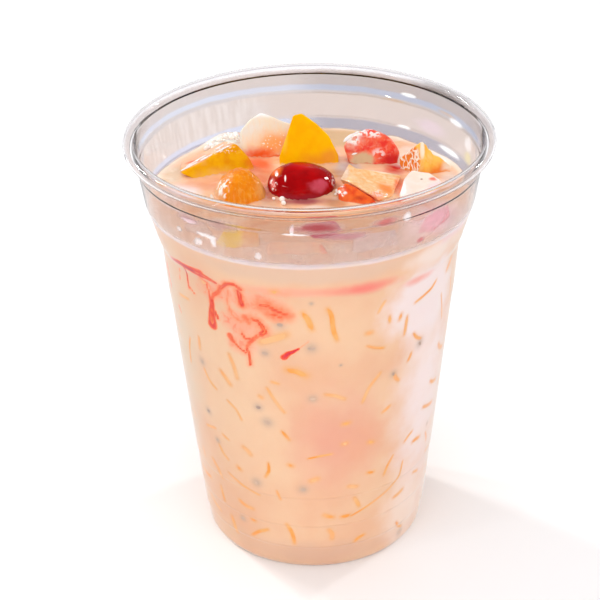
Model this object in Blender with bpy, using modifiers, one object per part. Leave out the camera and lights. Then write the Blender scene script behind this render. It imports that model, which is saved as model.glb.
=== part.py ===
"""Falooda: a milky dessert drink with cut fruit, in its clear plastic cup.

Metres, +Z up. The origin is the middle of the cup's foot, on the surface it stands on.
The front of the cup faces -Y.
"""
import math
from dataclasses import dataclass

import bmesh
import bpy
from mathutils import Euler, Vector, noise

MM = 0.001

# Cup
TURN_STEPS = 48
MERGE_DISTANCE = 0.05 * MM
WALL = 0.7 * MM
CUP_HEIGHT = 120.0 * MM
RIM_RADIUS = 49.0 * MM
BEAD_RADIUS = 1.6 * MM
BEAD_STEPS = 9
BEAD_TURN = 1.5 * math.pi
NECK_RADIUS = 46.3 * MM
LID_LINE_RADIUS = 45.6 * MM
LID_LINE_HEIGHT = 112.5 * MM
LID_STEP = 0.35 * MM
BAND_TOP_RADIUS = 44.1 * MM
BAND_TOP_HEIGHT = 102.6 * MM
SHOULDER_RADIUS = 40.25 * MM
SHOULDER_HEIGHT = 91.0 * MM
SHOULDER_ROUND = 1.0 * MM
SHOULDER_TOP_DROP = 2.8 * MM
SHOULDER_FOOT_RISE = 2.2 * MM
LEDGE_RADIUS = 39.15 * MM
LEDGE_HEIGHT = 77.0 * MM
TAPER_TOP_RADIUS = 38.4 * MM
TAPER_TOP_HEIGHT = 71.0 * MM
BASE_STEP_RADIUS = 31.95 * MM
BASE_STEP_HEIGHT = 7.5 * MM
BASE_STEP = 0.4 * MM
FOOT_RADIUS = 30.9 * MM
FOOT_CORNER = 1.6 * MM
FOOT_RING_WIDTH = 1.6 * MM
FLOOR_RISE = 3.0 * MM
FLOOR_ROUND = 2.6 * MM
NARROWEST_MITRE = 0.6

# Drink
GAP = 0.3 * MM
MILK_LEVEL = 102.0 * MM
MILK_RINGS = 9
SMEAR_PLACE = Vector((-23.5, 33.0)) * MM
SMEAR_HEIGHT = 2.4 * MM
SMEAR_WIDTH = 6.5 * MM
RIPPLE_HEIGHT = 0.35 * MM
RIPPLE_LENGTH = 14.0 * MM

# Fruit
BALL_SIDES = 18
BALL_RINGS = 11
EDGE_SEGMENTS = 2
UNEVENNESS = 0.5 * MM
UNEVEN_LENGTH = 6.0 * MM
NOISE_STRIDE = 7.3
SEED_STRIDE = Vector((1.0, 0.7, 1.3))
SHARPEST_GROWTH = 1.5
SMOOTH_ANGLE = math.radians(35)

CREAM = (0.93, 0.76, 0.58)
CLEAR = (0.92, 0.93, 0.95)


@dataclass
class Piece:
    """A cut piece of fruit, in millimetres.

    face is the outline of the side that shows, reach is the way from it to the far side,
    taper is the far side's share of its size, and edge is how far its edges are rounded.
    """

    name: str
    face: tuple
    reach: tuple
    colour: tuple
    taper: float = 0.85
    edge: float = 0.8


@dataclass
class Ball:
    """A round piece of fruit, in millimetres: its half lengths, its middle and its turn."""

    name: str
    radii: tuple
    middle: tuple
    turn: tuple
    colour: tuple


PIECES = [
    Piece("mango_wedge",
          ((-4.5, 21.5, 115.0), (-2.0, 22.0, 115.5), (2.0, 21.5, 112.5), (5.5, 20.5, 109.0),
           (8.0, 18.5, 104.0), (8.0, 16.0, 98.0), (-8.0, 15.0, 98.0), (-8.5, 17.5, 104.0)),
          reach=(0.4, 5.6, -2.0), colour=(0.95, 0.50, 0.02), taper=0.9),
    Piece("peach_wedge",
          ((-35.5, 9.5, 103.5), (-28.5, 14.0, 105.5), (-20.0, 19.5, 107.5), (-16.0, 17.0, 104.0),
           (-13.0, 12.5, 99.0), (-26.0, 9.0, 99.0)),
          reach=(-3.0, 8.0, -1.0), colour=(0.93, 0.42, 0.03), taper=0.8),
    Piece("pear_chunk",
          ((-19.5, 27.5, 108.0), (-16.5, 29.0, 111.0), (-13.5, 30.0, 112.5), (-4.6, 28.6, 109.4),
           (-6.8, 24.6, 102.0), (-13.0, 20.5, 98.5), (-19.5, 23.0, 101.0)),
          reach=(0.5, 6.5, -4.5), colour=(0.93, 0.74, 0.50), taper=0.8, edge=1.2),
    Piece("strawberry_half",
          ((9.0, 20.0, 106.0), (11.0, 22.0, 108.8), (16.5, 23.0, 110.3), (23.0, 21.0, 108.0),
           (25.8, 19.0, 105.0), (24.0, 16.5, 100.0), (11.8, 16.0, 100.0)),
          reach=(0.5, 7.0, -5.0), colour=(0.90, 0.16, 0.08), taper=0.7, edge=1.4),
    Piece("orange_chunk",
          ((30.0, 11.5, 111.0), (31.3, 11.8, 111.0), (34.0, 12.4, 107.2), (39.2, 13.0, 103.0),
           (38.2, 8.2, 100.8), (32.6, 8.8, 98.0)),
          reach=(-6.3, 2.4, -5.5), colour=(0.93, 0.46, 0.08), taper=0.9),
    Piece("papaya_slab",
          ((8.0, 0.0, 105.5), (10.5, 6.5, 107.5), (12.5, 5.0, 106.5), (24.8, 7.5, 103.0),
           (22.0, -4.0, 102.3), (18.0, -8.0, 103.2), (11.0, -3.8, 106.2)),
          reach=(0.3, 1.5, -2.2), colour=(0.94, 0.52, 0.22), taper=0.95),
    Piece("red_papaya_chunk",
          ((7.0, -4.4, 105.2), (9.6, -4.9, 107.0), (13.0, -6.5, 105.8), (16.3, -8.5, 104.4),
           (18.4, -10.1, 102.8), (11.5, -10.5, 98.5), (8.0, -8.6, 98.5)),
          reach=(1.0, 3.5, -6.0), colour=(0.90, 0.18, 0.02), taper=0.85, edge=0.6),
    Piece("apple_chunk",
          ((25.4, 4.0, 103.5), (27.4, 8.2, 104.2), (32.5, 7.0, 104.0), (35.5, 2.5, 103.4),
           (33.5, -4.5, 103.2), (24.0, -9.0, 103.2), (23.4, -5.0, 103.3)),
          reach=(0.3, 1.0, -6.0), colour=(0.92, 0.80, 0.65)),
    Piece("yellow_chunk",
          ((-21.5, -26.0, 105.5), (-13.0, -27.0, 104.2), (-12.6, -34.5, 101.8), (-17.5, -34.5, 101.8),
           (-24.2, -31.5, 103.0)),
          reach=(1.0, 3.5, -7.0), colour=(0.92, 0.54, 0.12)),
    Piece("pale_peach_chunk",
          ((-11.0, -32.0, 103.8), (2.5, -32.0, 104.0), (5.2, -37.8, 102.8), (-11.5, -37.8, 102.8)),
          reach=(0.5, 3.0, -6.0), colour=(0.93, 0.66, 0.50), taper=0.9, edge=1.0),
    Piece("pale_cube",
          ((10.5, -29.5, 104.0), (21.5, -27.0, 104.2), (22.5, -33.5, 102.6), (10.5, -37.0, 102.6)),
          reach=(-0.5, 3.5, -6.0), colour=(0.88, 0.70, 0.62), taper=0.9),
    Piece("jelly_piece",
          ((-33.0, -20.5, 103.5), (-28.0, -19.0, 104.2), (-24.8, -25.0, 103.0), (-26.5, -27.0, 102.6),
           (-32.0, -23.0, 102.8)),
          reach=(1.5, 2.5, -5.5), colour=(0.88, 0.72, 0.62), edge=1.0),
    Piece("strawberry_slice",
          ((26.5, -27.0, 102.8), (29.5, -20.0, 104.0), (36.0, -13.0, 105.0), (36.0, -17.5, 103.5),
           (31.0, -25.0, 102.6)),
          reach=(-1.0, 2.0, -5.0), colour=(0.90, 0.32, 0.30)),
    Piece("front_berry_piece",
          ((-2.0, -24.0, 104.5), (6.5, -23.0, 104.8), (9.3, -27.5, 103.0), (0.5, -29.0, 102.8)),
          reach=(0.5, 2.5, -6.0), colour=(0.72, 0.05, 0.12), edge=1.2),
]

BALLS = [
    Ball("cherry", (9.2, 7.6, 5.6), (-2.2, 2.6, 103.0), (0, 0, 0), (0.55, 0.0, 0.01)),
    Ball("orange_segment", (7.2, 7.6, 8.6), (-18.7, -0.8, 100.2), (0, 0, 12), (0.85, 0.38, 0.05)),
]


def clear_scene():
    """Remove every object, so that the model starts from nothing."""
    for leftover in list(bpy.data.objects):
        bpy.data.objects.remove(leftover, do_unlink=True)


def new_collection(name):
    """Make a collection under the scene's own."""
    made = bpy.data.collections.new(name)
    bpy.context.scene.collection.children.link(made)
    return made


def new_material(name, colour, roughness=0.3, metallic=0.0, transmission=0.0):
    """Make a Principled material."""
    made = bpy.data.materials.new(name)
    made.use_nodes = True
    shader = made.node_tree.nodes["Principled BSDF"]
    shader.inputs["Base Color"].default_value = (*colour, 1.0)
    shader.inputs["Roughness"].default_value = roughness
    shader.inputs["Metallic"].default_value = metallic
    shader.inputs["Transmission Weight"].default_value = transmission
    return made


def new_object(name, mesh, material, collection):
    """Put a mesh in the scene as a named object with its own material."""
    mesh.materials.clear()
    mesh.materials.append(material)
    made = bpy.data.objects.new(name, mesh)
    collection.objects.link(made)
    return made


def mesh_from(name, bm):
    """Turn a bmesh into a mesh with its faces outward and its sharp edges kept."""
    bmesh.ops.recalc_face_normals(bm, faces=bm.faces)
    mesh = bpy.data.meshes.new(name)
    bm.to_mesh(mesh)
    bm.free()
    mesh.shade_smooth()
    mesh.set_sharp_from_angle(angle=SMOOTH_ANGLE)
    return mesh


def turned_object(name, line, material, collection):
    """Turn a line of (radius, height) points round the Z axis."""
    mesh = bpy.data.meshes.new(name)
    points = [(radius, 0.0, height) for radius, height in line]
    edges = [(i, i + 1) for i in range(len(points) - 1)]
    mesh.from_pydata(points, edges, [])
    made = new_object(name, mesh, material, collection)
    turn = made.modifiers.new("turn", "SCREW")
    turn.axis = "Z"
    turn.angle = math.tau
    turn.steps = TURN_STEPS
    turn.render_steps = TURN_STEPS
    turn.use_merge_vertices = True
    turn.merge_threshold = MERGE_DISTANCE
    turn.use_smooth_shade = True
    return made


def applied_mesh(made):
    """Return a new mesh of an object with its modifiers applied, in its own space."""
    bpy.context.view_layer.update()
    graph = bpy.context.evaluated_depsgraph_get()
    return bpy.data.meshes.new_from_object(made.evaluated_get(graph))


def outer_line():
    """Outer side of the cup, from under the rim down to the middle of its raised floor."""
    ring_outer = FOOT_RADIUS - FOOT_CORNER
    ring_inner = ring_outer - FOOT_RING_WIDTH
    corner = FOOT_CORNER * (1 - math.sqrt(0.5))
    return [
        (NECK_RADIUS, CUP_HEIGHT - 2 * BEAD_RADIUS),
        (LID_LINE_RADIUS + LID_STEP, LID_LINE_HEIGHT + LID_STEP),
        (LID_LINE_RADIUS, LID_LINE_HEIGHT - LID_STEP),
        (BAND_TOP_RADIUS, BAND_TOP_HEIGHT),
        (BAND_TOP_RADIUS - SHOULDER_ROUND, BAND_TOP_HEIGHT - SHOULDER_TOP_DROP),
        (SHOULDER_RADIUS + SHOULDER_ROUND, SHOULDER_HEIGHT + SHOULDER_FOOT_RISE),
        (SHOULDER_RADIUS, SHOULDER_HEIGHT),
        (LEDGE_RADIUS, LEDGE_HEIGHT),
        (TAPER_TOP_RADIUS, TAPER_TOP_HEIGHT),
        (BASE_STEP_RADIUS, BASE_STEP_HEIGHT + BASE_STEP),
        (BASE_STEP_RADIUS - BASE_STEP, BASE_STEP_HEIGHT - BASE_STEP),
        (FOOT_RADIUS, FOOT_CORNER),
        (FOOT_RADIUS - corner, corner),
        (ring_outer, 0.0),
        (ring_inner, 0.0),
        (ring_inner - FOOT_CORNER, FOOT_CORNER),
        (ring_inner - FLOOR_ROUND, FLOOR_RISE),
        (0.0, FLOOR_RISE),
    ]


def inward(line, distance):
    """Move a (radius, height) line by a distance towards the inside of the cup."""
    moved = []
    for i, point in enumerate(line):
        here = Vector(point)
        before = (here - Vector(line[i - 1])).normalized() if i else None
        after = (Vector(line[i + 1]) - here).normalized() if i + 1 < len(line) else None
        before, after = before or after, after or before
        along = (before + after).normalized()
        side = Vector((along.y, -along.x))
        square = Vector((after.y, -after.x))
        moved.append(tuple(here + side * distance / max(side.dot(square), NARROWEST_MITRE)))
    return moved


def bead_line():
    """Rolled rim, from the inner wall over the top and round to the outer wall."""
    middle = Vector((RIM_RADIUS - BEAD_RADIUS, CUP_HEIGHT - BEAD_RADIUS))
    line = []
    for i in range(BEAD_STEPS + 1):
        angle = math.pi - BEAD_TURN * i / BEAD_STEPS
        line.append(tuple(middle + BEAD_RADIUS * Vector((math.cos(angle), math.sin(angle)))))
    return line


def cup_object(collection):
    """One turned piece: wall, rolled rim, lid line, shoulder, base step and raised floor."""
    outside = outer_line()
    inside = inward(outside, WALL)[::-1]
    material = new_material("clear_plastic", CLEAR, roughness=0.06, transmission=0.9)
    return turned_object("cup", inside + bead_line() + outside, material, collection)


def milk_height(x, y):
    """Height of the drink's surface: level, with soft ripples and a smear up the wall."""
    away = (Vector((x, y)) - SMEAR_PLACE).length / SMEAR_WIDTH
    smear = SMEAR_HEIGHT * math.exp(-away * away)
    ripple = RIPPLE_HEIGHT * noise.noise(Vector((x, y, 0.0)) / RIPPLE_LENGTH)
    return MILK_LEVEL + smear + ripple


def level_radius(line, level):
    """Radius at which a line that runs downwards passes a level."""
    for (radius_a, height_a), (radius_b, height_b) in zip(line, line[1:]):
        if height_b <= level <= height_a:
            share = (height_a - level) / (height_a - height_b)
            return radius_a + share * (radius_b - radius_a)
    return 0.0


def milk_object(collection):
    """The drink: it fills the cup with a thin gap to the wall, up to its uneven surface."""
    side = inward(outer_line(), WALL + GAP)
    edge = level_radius(side, MILK_LEVEL)
    surface = [(edge * i / MILK_RINGS, MILK_LEVEL) for i in range(MILK_RINGS + 1)]
    wetted = [point for point in side if point[1] < MILK_LEVEL]
    material = new_material("milk", CREAM, roughness=0.25)
    turned = turned_object("milk_form", surface + wetted, material, collection)
    mesh = applied_mesh(turned)
    bpy.data.objects.remove(turned, do_unlink=True)
    for vertex in mesh.vertices:
        if vertex.co.z > MILK_LEVEL - GAP / 2:
            vertex.co.z = milk_height(vertex.co.x, vertex.co.y)
    return new_object("milk_drink", mesh, material, collection)


def make_uneven(bm, seed):
    """Move a soft piece's points a little, as cut fruit is never true."""
    axes = (Vector((1, 0, 0)), Vector((0, 1, 0)), Vector((0, 0, 1)))
    for vertex in bm.verts:
        place = vertex.co / UNEVEN_LENGTH + seed * SEED_STRIDE
        for number, axis in enumerate(axes):
            vertex.co += axis * UNEVENNESS * noise.noise(place + axis * NOISE_STRIDE * (number + 1))


def piece_object(piece, seed, collection):
    """A cut piece: the side that shows, carried back to a smaller far side, with round edges."""
    bm = bmesh.new()
    middle = sum((Vector(p) for p in piece.face), Vector()) / len(piece.face) * MM
    corners = [bm.verts.new(Vector(p) * MM - middle) for p in piece.face]
    shown = bm.faces.new(corners)
    carried = bmesh.ops.extrude_face_region(bm, geom=[shown])["geom"]
    far = [part for part in carried if isinstance(part, bmesh.types.BMVert)]
    bmesh.ops.scale(bm, vec=Vector((piece.taper,) * 3), verts=far)
    bmesh.ops.translate(bm, vec=Vector(piece.reach) * MM, verts=far)
    bmesh.ops.recalc_face_normals(bm, faces=bm.faces)
    bmesh.ops.bevel(bm, geom=bm.edges[:], offset=piece.edge * MM, segments=EDGE_SEGMENTS, profile=0.5,
                    affect="EDGES", clamp_overlap=True, material=-1)
    make_uneven(bm, seed)
    material = new_material(piece.name, piece.colour)
    made = new_object(piece.name, mesh_from(piece.name, bm), material, collection)
    made.location = middle
    return made


def ball_object(ball, seed, collection):
    """A round piece, a little uneven."""
    bm = bmesh.new()
    bmesh.ops.create_uvsphere(bm, u_segments=BALL_SIDES, v_segments=BALL_RINGS, radius=1.0)
    bmesh.ops.scale(bm, vec=Vector(ball.radii) * MM, verts=bm.verts)
    make_uneven(bm, seed)
    material = new_material(ball.name, ball.colour, roughness=0.12)
    made = new_object(ball.name, mesh_from(ball.name, bm), material, collection)
    made.location = Vector(ball.middle) * MM
    made.rotation_euler = Euler([math.radians(a) for a in ball.turn])
    return made


def cutter_for(piece, cutters):
    """A piece's own shape, grown by the gap, that cuts room for it in its neighbours."""
    bm = bmesh.new()
    bm.from_mesh(applied_mesh(piece))
    bmesh.ops.triangulate(bm, faces=bm.faces)
    bm.normal_update()
    grown = [v.co + v.normal * GAP * min(v.calc_shell_factor(), SHARPEST_GROWTH) for v in bm.verts]
    for vertex, place in zip(bm.verts, grown):
        vertex.co = place
    mesh = bpy.data.meshes.new(piece.name + "_room")
    bm.to_mesh(mesh)
    bm.free()
    made = bpy.data.objects.new(piece.name + "_room", mesh)
    cutters.objects.link(made)
    made.matrix_world = piece.matrix_world
    made.hide_render = True
    made.display_type = "WIRE"
    return made


def cut(solid, cutter):
    """Cut a cutter's shape out of a solid."""
    made = solid.modifiers.new(cutter.name, "BOOLEAN")
    made.operation = "DIFFERENCE"
    made.object = cutter
    made.solver = "EXACT"


def main():
    """Build the cup, the drink and the fruit that lies in it."""
    clear_scene()
    falooda = new_collection("falooda")
    cutters = new_collection("cutters")
    cup_object(falooda)
    milk = milk_object(falooda)
    fruit = [piece_object(piece, seed, falooda) for seed, piece in enumerate(PIECES)]
    fruit += [ball_object(ball, seed, falooda) for seed, ball in enumerate(BALLS)]
    for piece in fruit:
        cut(milk, cutter_for(piece, cutters))


main()
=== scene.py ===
"""Looks of the falooda: a milk drink with fruit, vermicelli, basil seeds and syrup, in a clear plastic cup.

Meshes are in metres, +Z up, and the front of the cup is at -Y. Sizes and places in the tables are in
millimetres, and colours are screen colours, from 0 to 255.
"""

import logging
import math
import random
from collections.abc import Iterable
from dataclasses import dataclass
from enum import Enum
from functools import reduce

import bmesh
import bpy
import numpy as np
from mathutils import Matrix, Vector, noise
from mathutils.bvhtree import BVHTree


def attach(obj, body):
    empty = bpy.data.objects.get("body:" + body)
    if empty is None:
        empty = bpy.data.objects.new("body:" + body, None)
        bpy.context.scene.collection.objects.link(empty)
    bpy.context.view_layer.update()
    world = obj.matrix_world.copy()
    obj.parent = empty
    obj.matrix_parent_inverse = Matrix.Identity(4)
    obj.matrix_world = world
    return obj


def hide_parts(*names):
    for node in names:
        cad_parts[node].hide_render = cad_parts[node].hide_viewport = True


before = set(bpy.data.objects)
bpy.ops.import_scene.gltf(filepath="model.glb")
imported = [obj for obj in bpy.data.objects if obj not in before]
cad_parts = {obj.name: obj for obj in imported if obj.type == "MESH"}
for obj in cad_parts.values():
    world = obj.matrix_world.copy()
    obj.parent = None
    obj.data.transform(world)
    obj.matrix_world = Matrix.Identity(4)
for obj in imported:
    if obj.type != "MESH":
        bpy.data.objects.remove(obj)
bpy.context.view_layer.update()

LOG = logging.getLogger("falooda")
BODY = "root"
MM = 0.001
MILK_LEVEL = 102.0
TOUCHING = 0.001
MERGED = 0.002
SHARPEST = 0.6

Triple = tuple[float, float, float]
Pair = tuple[float, float]
Colour = tuple[int, int, int]
Rows = tuple[tuple, ...]
Output = bpy.types.NodeSocket
Shape = bmesh.types.BMesh
Material = bpy.types.Material
Piece = bpy.types.Object

WHITE: Colour = (255, 255, 255)
BLACK: Colour = (0, 0, 0)
EVEN: Triple = (1, 1, 1)


class Slot(Enum):
    """Finishes that the record names."""

    PLASTIC = "clear_plastic"
    MILK = "milk"
    MANGO = "mango"
    PEACH = "peach"
    PEAR = "pear"
    STRAWBERRY = "strawberry"
    ORANGE = "orange"
    PAPAYA = "papaya"
    RED_PAPAYA = "red_papaya"
    APPLE = "apple"
    PALE = "pale_fruit"
    JELLY = "jelly"
    CHERRY = "cherry"


def tone(colour: Colour) -> tuple[float, ...]:
    """Work out the linear colour of a screen colour.

    Args:
        colour: Red, green and blue.

    Returns:
        The linear colour with full alpha.
    """
    parts = [c / 255 for c in colour]
    linear = [c / 12.92 if c <= 0.04045 else ((c + 0.055) / 1.055) ** 2.4 for c in parts]
    return (*linear, 1.0)


def white(rows: Rows) -> Rows:
    """Put white into rows that hold what Patch holds, but for the colour."""
    return tuple((middle, reach, WHITE, *rest) for middle, reach, *rest in rows)


@dataclass(frozen=True)
class Patch:
    """A soft patch: its middle and half lengths in mm, its colour, strength, softness and waviness."""

    middle: Triple
    reach: Triple
    colour: Colour
    strength: float
    soft: float
    wobble: float = 0.3


class Paint:
    """Builds the nodes of a material or of the world around its main shader."""

    def __init__(self, owner: bpy.types.ID, shader: str = "Principled BSDF", space: str = "Object") -> None:
        """Start the nodes.

        Args:
            owner: The new material or world.
            shader: Name of its main shader.
            space: Coordinates that the patterns lie in.
        """
        owner.use_nodes = True
        self.owner = owner
        self.tree = owner.node_tree
        self.shader = self.tree.nodes[shader]
        self.place = self.add("TexCoord").outputs[space]

    def plug(self, socket: Output, value: object) -> None:
        """Set an input, or link an output to it.

        Args:
            socket: The input.
            value: A plain value, a screen colour or an output.
        """
        if isinstance(value, bpy.types.NodeSocket):
            self.tree.links.new(value, socket)
        else:
            socket.default_value = tone(value) if socket.type == "RGBA" else value

    def add(self, kind: str, inputs: dict | None = None, **settings: object) -> bpy.types.Node:
        """Add a node.

        Args:
            kind: The node's type, without ShaderNode.
            inputs: Values for its inputs, by name or number.
            settings: Properties to set on it first.

        Returns:
            The new node.
        """
        made = self.tree.nodes.new("ShaderNode" + kind)
        for name, value in settings.items():
            setattr(made, name, value)
        for key, value in (inputs or {}).items():
            self.plug(made.inputs[key], value)
        return made

    def set(self, **values: object) -> None:
        """Set the shader's own sockets, named with underscores for spaces."""
        for name, value in values.items():
            self.plug(self.shader.inputs[name.replace("_", " ")], value)

    def maths(self, operation: str, first: object, second: object) -> Output:
        """Combine two numbers."""
        return self.add("Math", {0: first, 1: second}, operation=operation).outputs[0]

    def plus(self, first: object, second: object) -> Output:
        """Add two numbers."""
        return self.maths("ADD", first, second)

    def times(self, *factors: object) -> Output:
        """Multiply numbers."""
        return reduce(lambda first, second: self.maths("MULTIPLY", first, second), factors)

    def vector(self, operation: str, first: object, second: object) -> Output:
        """Combine two vectors."""
        return self.add("VectorMath", {0: first, 1: second}, operation=operation).outputs[0]

    def length(self, vector: Output) -> Output:
        """Length of a vector."""
        return self.add("VectorMath", {0: vector}, operation="LENGTH").outputs["Value"]

    def along(self, axis: str) -> Output:
        """Place along an axis, in mm."""
        return self.maths("DIVIDE", self.add("SeparateXYZ", {0: self.place}).outputs[axis], MM)

    def grid(self, size: float, stretch: Triple = EVEN) -> Output:
        """Place in units of a size in mm, stretched along each axis."""
        return self.vector("MULTIPLY", self.place, tuple(1 / (size * MM * s) for s in stretch))

    def noise(self, size: float, detail: float = 2.0, stretch: Triple = EVEN, twist: float = 0.0) -> Output:
        """Cloudy noise from 0 to 1: size of its spots in mm, octaves, their stretch and distortion."""
        inputs = {"Vector": self.grid(size, stretch), "Scale": 1.0, "Detail": detail, "Distortion": twist}
        return self.add("TexNoise", inputs).outputs["Fac"]

    def wavy(self, size: float, waves: float, detail: float = 2.0) -> Output:
        """Height above the foot in mm, with waves of a size and a height in mm added."""
        return self.plus(self.along("Z"), self.times(self.noise(size, detail), waves))

    def cells(self, size: float, stretch: Triple, warp: float = 0.6) -> Output:
        """Add a pattern of cells with wavy edges.

        Args:
            size: Size of a cell in mm.
            stretch: How many times longer the cells are along each axis.
            warp: Waviness, in cells.

        Returns:
            The distance to the nearest edge of a cell, in cells.
        """
        even = self.grid(size, stretch)
        waves = self.add("TexNoise", {"Vector": even, "Scale": 1.3}).outputs["Color"]
        uneven = self.vector("ADD", even, self.vector("MULTIPLY", waves, (warp * 2,) * 3))
        made = self.add("TexVoronoi", {"Vector": uneven, "Scale": 1.0}, feature="DISTANCE_TO_EDGE")
        return made.outputs["Distance"]

    def smooth(self, value: object, low: float, high: float, top: float = 1.0, bottom: float = 0) -> Output:
        """Turn a number into a soft step.

        Args:
            value: The number.
            low: Where the step starts.
            high: Where it ends. It may be below low.
            top: What it rises to.
            bottom: What it rises from.

        Returns:
            The step.
        """
        ends = (low, high, bottom, top) if low < high else (high, low, top, bottom)
        inputs = dict(zip(("From Min", "From Max", "To Min", "To Max"), ends), Value=value)
        return self.add("MapRange", inputs, interpolation_type="SMOOTHSTEP").outputs["Result"]

    def blend(self, factor: object, first: object, second: object) -> Output:
        """Mix two colours by the share of the second."""
        return self.add("Mix", {0: factor, 6: first, 7: second}, data_type="RGBA").outputs[2]

    def layered(self, colour: object, *layers: tuple[object, object]) -> Output:
        """Lay colours over a colour, each after its share, the lowest first."""
        return reduce(lambda below, layer: self.blend(layer[0], below, layer[1]), layers, colour)

    def ramp(self, value: object, *stops: tuple[float, Colour]) -> Output:
        """Turn a number from 0 to 1 into a colour.

        Args:
            value: The number.
            stops: Places and colours.

        Returns:
            The colour.
        """
        made = self.add("ValToRGB", {0: value})
        points = made.color_ramp.elements
        for number, (where, colour) in enumerate(stops):
            point = points[number] if number < 2 else points.new(where)
            point.position = where
            point.color = tone(colour)
        return made.outputs["Color"]

    def attribute(self, name: str) -> Output:
        """Value that the mesh carries at each point."""
        return self.add("Attribute", attribute_name=name).outputs["Fac"]

    def patched(self, colour: object, rows: Rows, size: float = 3.0) -> Output:
        """Lay soft patches of colour over a colour.

        Args:
            colour: The colour below them.
            rows: What Patch holds, for each patch, the lowest first.
            size: Size in mm of the waves in their edges.

        Returns:
            The patched colour.
        """
        waves = self.add("TexNoise", {"Vector": self.grid(size), "Scale": 1.0, "Detail": 3.0})
        even = self.vector("SUBTRACT", waves.outputs["Color"], (0.5, 0.5, 0.5))
        for patch in (Patch(*row) for row in rows):
            away = self.vector("SUBTRACT", self.place, tuple(c * MM for c in patch.middle))
            away = self.vector("DIVIDE", away, tuple(c * MM for c in patch.reach))
            moved = self.vector("ADD", away, self.vector("MULTIPLY", even, (patch.wobble * 2,) * 3))
            share = self.smooth(self.length(moved), 1.0, 1.0 - patch.soft, patch.strength)
            colour = self.blend(share, colour, patch.colour)
        return colour

    def within(self, rows: Rows, size: float = 3.0) -> Output:
        """Share from 0 to 1 of soft areas: rows as for white(), and the size of the waves in their edges."""
        return self.patched(BLACK, white(rows), size)

    def relief(self, height: object, depth: float, below: Output | None = None) -> Output:
        """Add fine relief.

        Args:
            height: Its height from 0 to 1.
            depth: What a height of 1 stands for, in mm.
            below: Relief under this one.

        Returns:
            The normal.
        """
        inputs = {"Distance": depth * MM, "Height": height}
        if below is not None:
            inputs["Normal"] = below
        return self.add("Bump", inputs).outputs["Normal"]


@dataclass(frozen=True)
class Flesh:
    """Finish of wet cut fruit.

    colour and shade are the two tones of its mottling, fibre is how much longer than wide its fibres are
    along each axis, and film is how far up from the drink it is tinted by milk, in mm.
    """

    name: str
    colour: Colour
    shade: Colour
    patches: Rows = ()
    glints: Rows = ()
    glint: Colour = (255, 252, 248)
    glint_size: float = 1.2
    glint_level: float = 0.44
    sacs: Rows = ()
    sac_size: float = 1.25
    sac_skin: Colour = (254, 246, 232)
    mottle: float = 3.0
    fibre: Triple = EVEN
    fibre_size: float = 0.8
    fibre_colour: Colour = WHITE
    fibre_share: float = 0.0
    grain: float = 0.05
    swell: float = 0.15
    film: float = 0.8
    foot: Colour = (250, 222, 198)
    gloss: float = 0.32
    shine: float = 0.15
    wet: float = 0.3
    soft: float = 0.12

    def material(self) -> Material:
        """Build the material.

        Returns:
            The material.
        """
        paint = Paint(bpy.data.materials.new(self.name))
        mottling = paint.smooth(paint.noise(self.mottle, 3.0), 0.35, 0.68)
        colour = paint.blend(mottling, self.colour, self.shade)
        fibres = paint.noise(self.fibre_size, 3.0, self.fibre, 0.4)
        if self.fibre_share:
            share = paint.smooth(fibres, 0.5, 0.68, self.fibre_share)
            colour = paint.blend(share, colour, self.fibre_colour)
        colour = paint.patched(colour, self.patches)
        if self.film:
            share = paint.smooth(paint.wavy(2.2, 1.6), MILK_LEVEL + self.film + 0.8, MILK_LEVEL + 0.6, 0.85)
            colour = paint.blend(share, colour, self.foot)
        if self.sacs:
            edge = paint.plus(paint.cells(self.sac_size, (1, 1, 2.2)), paint.times(paint.noise(1.2), 0.2))
            pulp = paint.times(paint.within(self.sacs), paint.smooth(edge, 0.24, 0.12))
            colour = paint.blend(pulp, colour, self.sac_skin)
        # Glints are painted highlights: white specks over the colour within the glint areas.
        if self.glints:
            level = self.glint_level
            specks = paint.smooth(paint.noise(self.glint_size, 3.0), level, level + 0.08)
            colour = paint.blend(paint.times(paint.within(self.glints), specks), colour, self.glint)
        coarse = paint.relief(paint.noise(2.4, 2.0), self.swell)
        paint.set(Base_Color=colour, Roughness=self.gloss, Specular_IOR_Level=self.shine,
                  Coat_Weight=self.wet, Coat_Roughness=0.05, Coat_IOR=1.4, Subsurface_Weight=self.soft,
                  Subsurface_Scale=1.5 * MM, Subsurface_Radius=(1.0, 0.5, 0.25),
                  Normal=paint.relief(fibres, self.grain, coarse), Coat_Normal=coarse)
        return paint.owner


# Where the pink wash lies: rows of Patch without the colour.
WASH = (
    ((-24, -31, 89.5), (9, 9, 4.6), 1, 0.7), ((-13, -37, 88.5), (8.5, 8, 4.2), 1, 0.6),
    ((-19, -34, 81.5), (6.5, 8, 4.6), 1, 0.6), ((-18.5, -33.5, 75), (5, 7, 4.2), 0.9, 0.6),
)


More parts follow.
